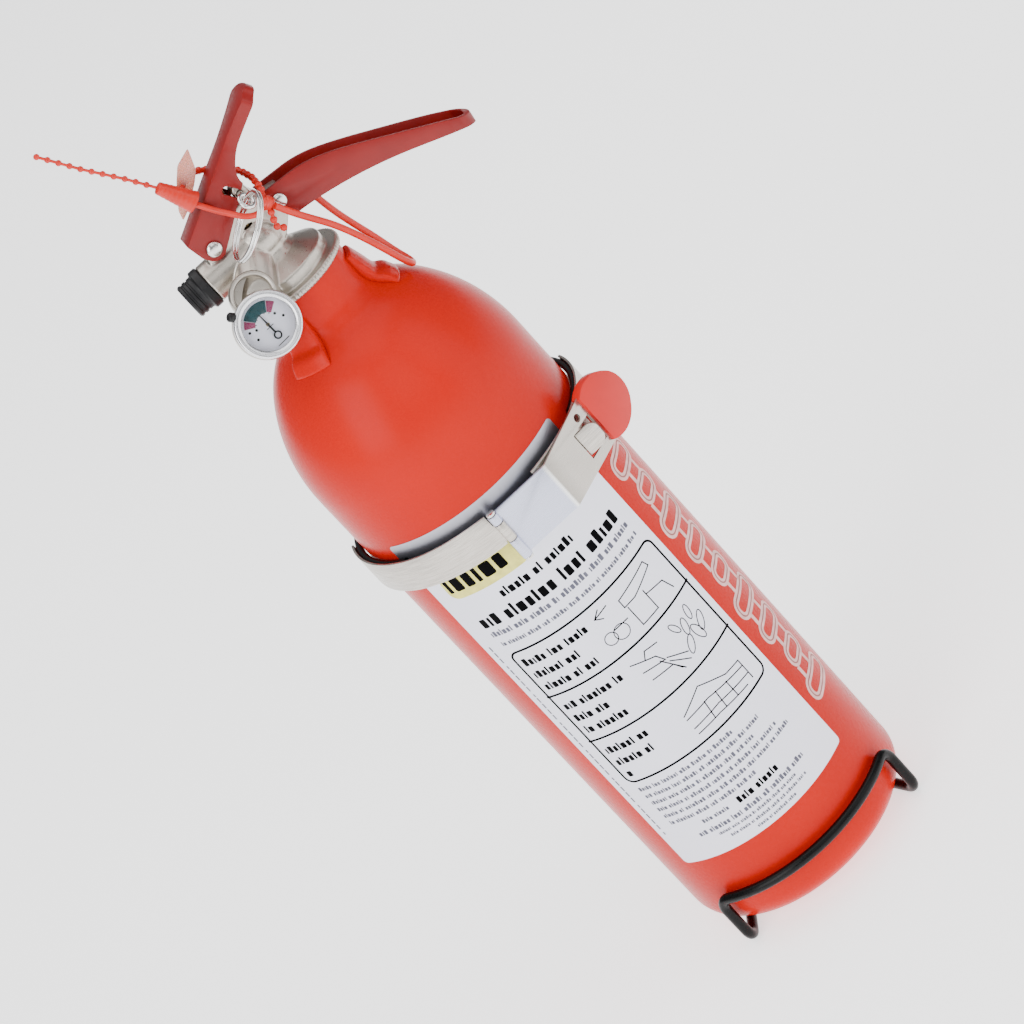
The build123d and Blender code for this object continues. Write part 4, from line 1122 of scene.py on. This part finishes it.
# ---------------------------------------------------------------- seal
class SEAL_OT_extinguisher(Step, bpy.types.Operator):
    """Makes the seal's ribbed bell, flag, beaded tail, knot and loose beads"""

    bl_idname = "extinguisher.seal"
    bl_label = "Seal"

    def make(self, s):
        plastic = bpy.data.materials["seal_plastic"]
        self.bell(plastic)
        self.flag()
        self.tail(plastic)
        self.knot(plastic)
        self.loose_beads(plastic)
        self.strap_beads(plastic)

    def bell(self, plastic):
        low, high = at(-8.8, -5.6, 383.2), at(-15.4, -5.6, 397.4)
        length = (high - low).length
        profile, ribs = [(0, 0), (4.3 * mm, 0)], 8
        for i in range(ribs):
            for part, swell in ((0.15, 0.0), (0.4, 0.06), (0.7, 0.06), (0.95, -0.05)):
                t = (i + part) / ribs
                profile.append(((4.4 - 2.0 * t + swell) * mm, length * t))
        profile += [(2.2 * mm, length), (1.2 * mm, length + 0.3 * mm), (0, length + 0.4 * mm)]
        bm = turned(profile, 48, axis_place(low, high - low))
        middle = low.lerp(high, 0.35)
        block_size = Matrix.Diagonal((3.0 * mm, 4.2 * mm, 6.0 * mm, 1))
        place = Matrix.Translation(middle + Vector((0, 3.9 * mm, 0))) @ block_size
        bmesh.ops.create_cube(bm, size=1.0, matrix=place)
        soften(bm, 0.3 * mm, 2, 60)
        piece("seal_bell", bm, plastic, "extinguisher", ("seal_head",))

    def flag(self):
        start, end = at(-16.0, 0.85, 380.6), at(1.4, 0.85, 396.4)
        bm = bmesh.new()
        along = (end - start).normalized()
        turn = Matrix((along, Vector((0, 1, 0)), along.cross(Vector((0, 1, 0))))).transposed().to_4x4()
        outline = (
            (-13.6, -0.9), (-9.5, -2.3), (1.5, -3.7), (6.5, -3.6),
            (14.6, 0.5), (7.5, 3.7), (1.0, 3.3), (-10, 1.3),
        )
        thickness = 0.9 * mm
        corners = [bm.verts.new((a, -0.45 * mm, b)) for a, b in in_mm(outline)]
        bm.faces.new(corners)
        round_corners(bm, corners, thickness, 4)
        thicken(bm, (0, thickness, 0))
        soften(bm, 0.2 * mm, 2, 60)
        bmesh.ops.transform(bm, matrix=Matrix.Translation((start + end) / 2) @ turn, verts=bm.verts)
        bmesh.ops.recalc_face_normals(bm, faces=bm.faces)
        piece("seal_tag", bm, look("flag_plastic"), "extinguisher", ("seal_flag",))

    def tail(self, plastic):
        """A string of beads that rises from the bell."""
        bm = bmesh.new()
        places = ((-15.4, -5.6, 397.4), (-22.0, -5.6, 408.6), (-31.4, -5.6, 422.8), (-40.6, -5.6, 438.4))
        route = [at(*place) for place in places]
        beads = spread_along(route, 11)
        for a, b in zip(beads, beads[1:]):
            add_rod(bm, a, b, 0.6 * mm)
            add_ball(bm, b, 1.25 * mm)
        piece("beaded_tail", bm, plastic, "extinguisher", ("seal_tail",))

    def knot(self, plastic):
        place = axis_place(at(11.2, -13.4, 366.2), (0.62, 0.3, -0.72))
        profile = [
            (0, -2.8), (1.7, -2.6), (2.4, -1.9), (2.3, -1.2), (2.85, -0.7), (2.85, 0.7), (2.3, 1.2),
            (2.4, 1.9), (1.7, 2.6), (0, 2.8),
        ]
        bm = turned(in_mm(profile), 32, place)
        piece("seal_collar", bm, plastic, "extinguisher", ("seal_knot",))

    def loose_beads(self, plastic):
        bm = bmesh.new()
        spots = [at(10.0, -14.2, 362.6), at(8.8, -14.4, 359.8), at(8.0, -14.2, 356.8), at(9.6, -14.0, 354.6)]
        for spot in spots:
            add_ball(bm, spot, 1.45 * mm)
        for a, b in zip(spots, spots[1:]):
            add_rod(bm, a, b, 0.7 * mm)
        piece("loose_beads", bm, plastic, "extinguisher", ("seal_bead_end",))

    def strap_beads(self, plastic):
        """The strap's locking beads, from the collar round the back to the bell."""
        bm = bmesh.new()
        for spot in spread_along(strap_route[5:], 18)[1:-1]:
            add_ball(bm, spot, 1.55 * mm, segments=14)
        piece("strap_beads", bm, plastic, "extinguisher")


def spread_along(route, count):
    """count + 1 places evenly spaced along straight runs."""
    lengths = [(b - a).length for a, b in zip(route, route[1:])]
    places = []
    for i in range(count + 1):
        left = sum(lengths) * i / count
        for a, b, length in zip(route, route[1:], lengths):
            if left <= length + 1e-9:
                places.append(a.lerp(b, left / length))
                break
            left -= length
    return places


# ---------------------------------------------------------------- bracket
class WIRES_OT_extinguisher(Step, bpy.types.Operator):
    """Finishes the cradle, the upper hoop and the back plate"""

    bl_idname = "extinguisher.wires"
    bl_label = "Wires and back plate"

    def make(self, s):
        coating = look("wire_coating", s)
        finished("wire_cradle", "cradle_wire", coating, "bracket")
        finished("upper_hoop", "hoop_wire", coating, "bracket")
        finished("back_plate", "wall_plate", coating, "bracket", 0.5 * mm, 20)


class BAND_OT_extinguisher(Step, bpy.types.Operator):
    """Finishes the two strap halves, the keeper tongue, the latch plate and its pin"""

    bl_idname = "extinguisher.band"
    bl_label = "Strap and latch"

    def make(self, s):
        band, latch = look("brushed_band", s), brushed_latch(s)
        edge, flat = 0.15 * mm, 24
        finished("strap_left", "left_band", band, "bracket", edge, flat)
        finished("strap_right", "right_band", band, "bracket", edge, flat)
        finished("keeper_tongue", "keeper", band, "bracket", edge, flat)
        finished("latch_plate", "latch_lever", latch, "latch", edge, flat)
        finished("latch_pin", "hinge_pin", look("polished_steel"), "bracket", 0.25 * mm)


class GRIP_OT_extinguisher(Step, bpy.types.Operator):
    """Makes the dipped grip on the latch's end"""

    bl_idname = "extinguisher.grip"
    bl_label = "Latch grip"

    def make(self, s):
        finished("latch_grip", "dipped_grip", look("dipped_vinyl", s), "latch", 1.6 * mm)


# ---------------------------------------------------------------- panel and running
steps = (
    STAGE_OT_extinguisher,
    CORDS_OT_extinguisher,
    BOTTLE_OT_extinguisher,
    LABEL_OT_extinguisher,
    DECAL_OT_extinguisher,
    VALVE_OT_extinguisher,
    LEVERS_OT_extinguisher,
    GAUGE_OT_extinguisher,
    PIN_OT_extinguisher,
    SEAL_OT_extinguisher,
    WIRES_OT_extinguisher,
    BAND_OT_extinguisher,
    GRIP_OT_extinguisher,
)


class VIEW3D_PT_extinguisher(bpy.types.Panel):
    """Lists the pieces"""

    bl_label = "Extinguisher"
    bl_space_type = "VIEW_3D"
    bl_region_type = "UI"
    bl_category = "Extinguisher"

    def draw(self, context):
        for step in steps:
            self.layout.operator(step.bl_idname)


groups = (
    BottleSettings, PrintSettings, ValveSettings, GaugeSettings, SealSettings, BracketSettings, StageSettings,
    ExtinguisherSettings,
)


def register():
    for cls in (*groups, *steps, VIEW3D_PT_extinguisher):
        bpy.utils.register_class(cls)
    bpy.types.Scene.extinguisher = PointerProperty(type=ExtinguisherSettings)


def unregister():
    del bpy.types.Scene.extinguisher
    for cls in reversed((*groups, *steps, VIEW3D_PT_extinguisher)):
        bpy.utils.unregister_class(cls)


def main():
    register()
    for step in steps:
        name = step.bl_idname.split(".")[1]
        getattr(bpy.ops.extinguisher, name)()


if __name__ == "__main__":
    main()
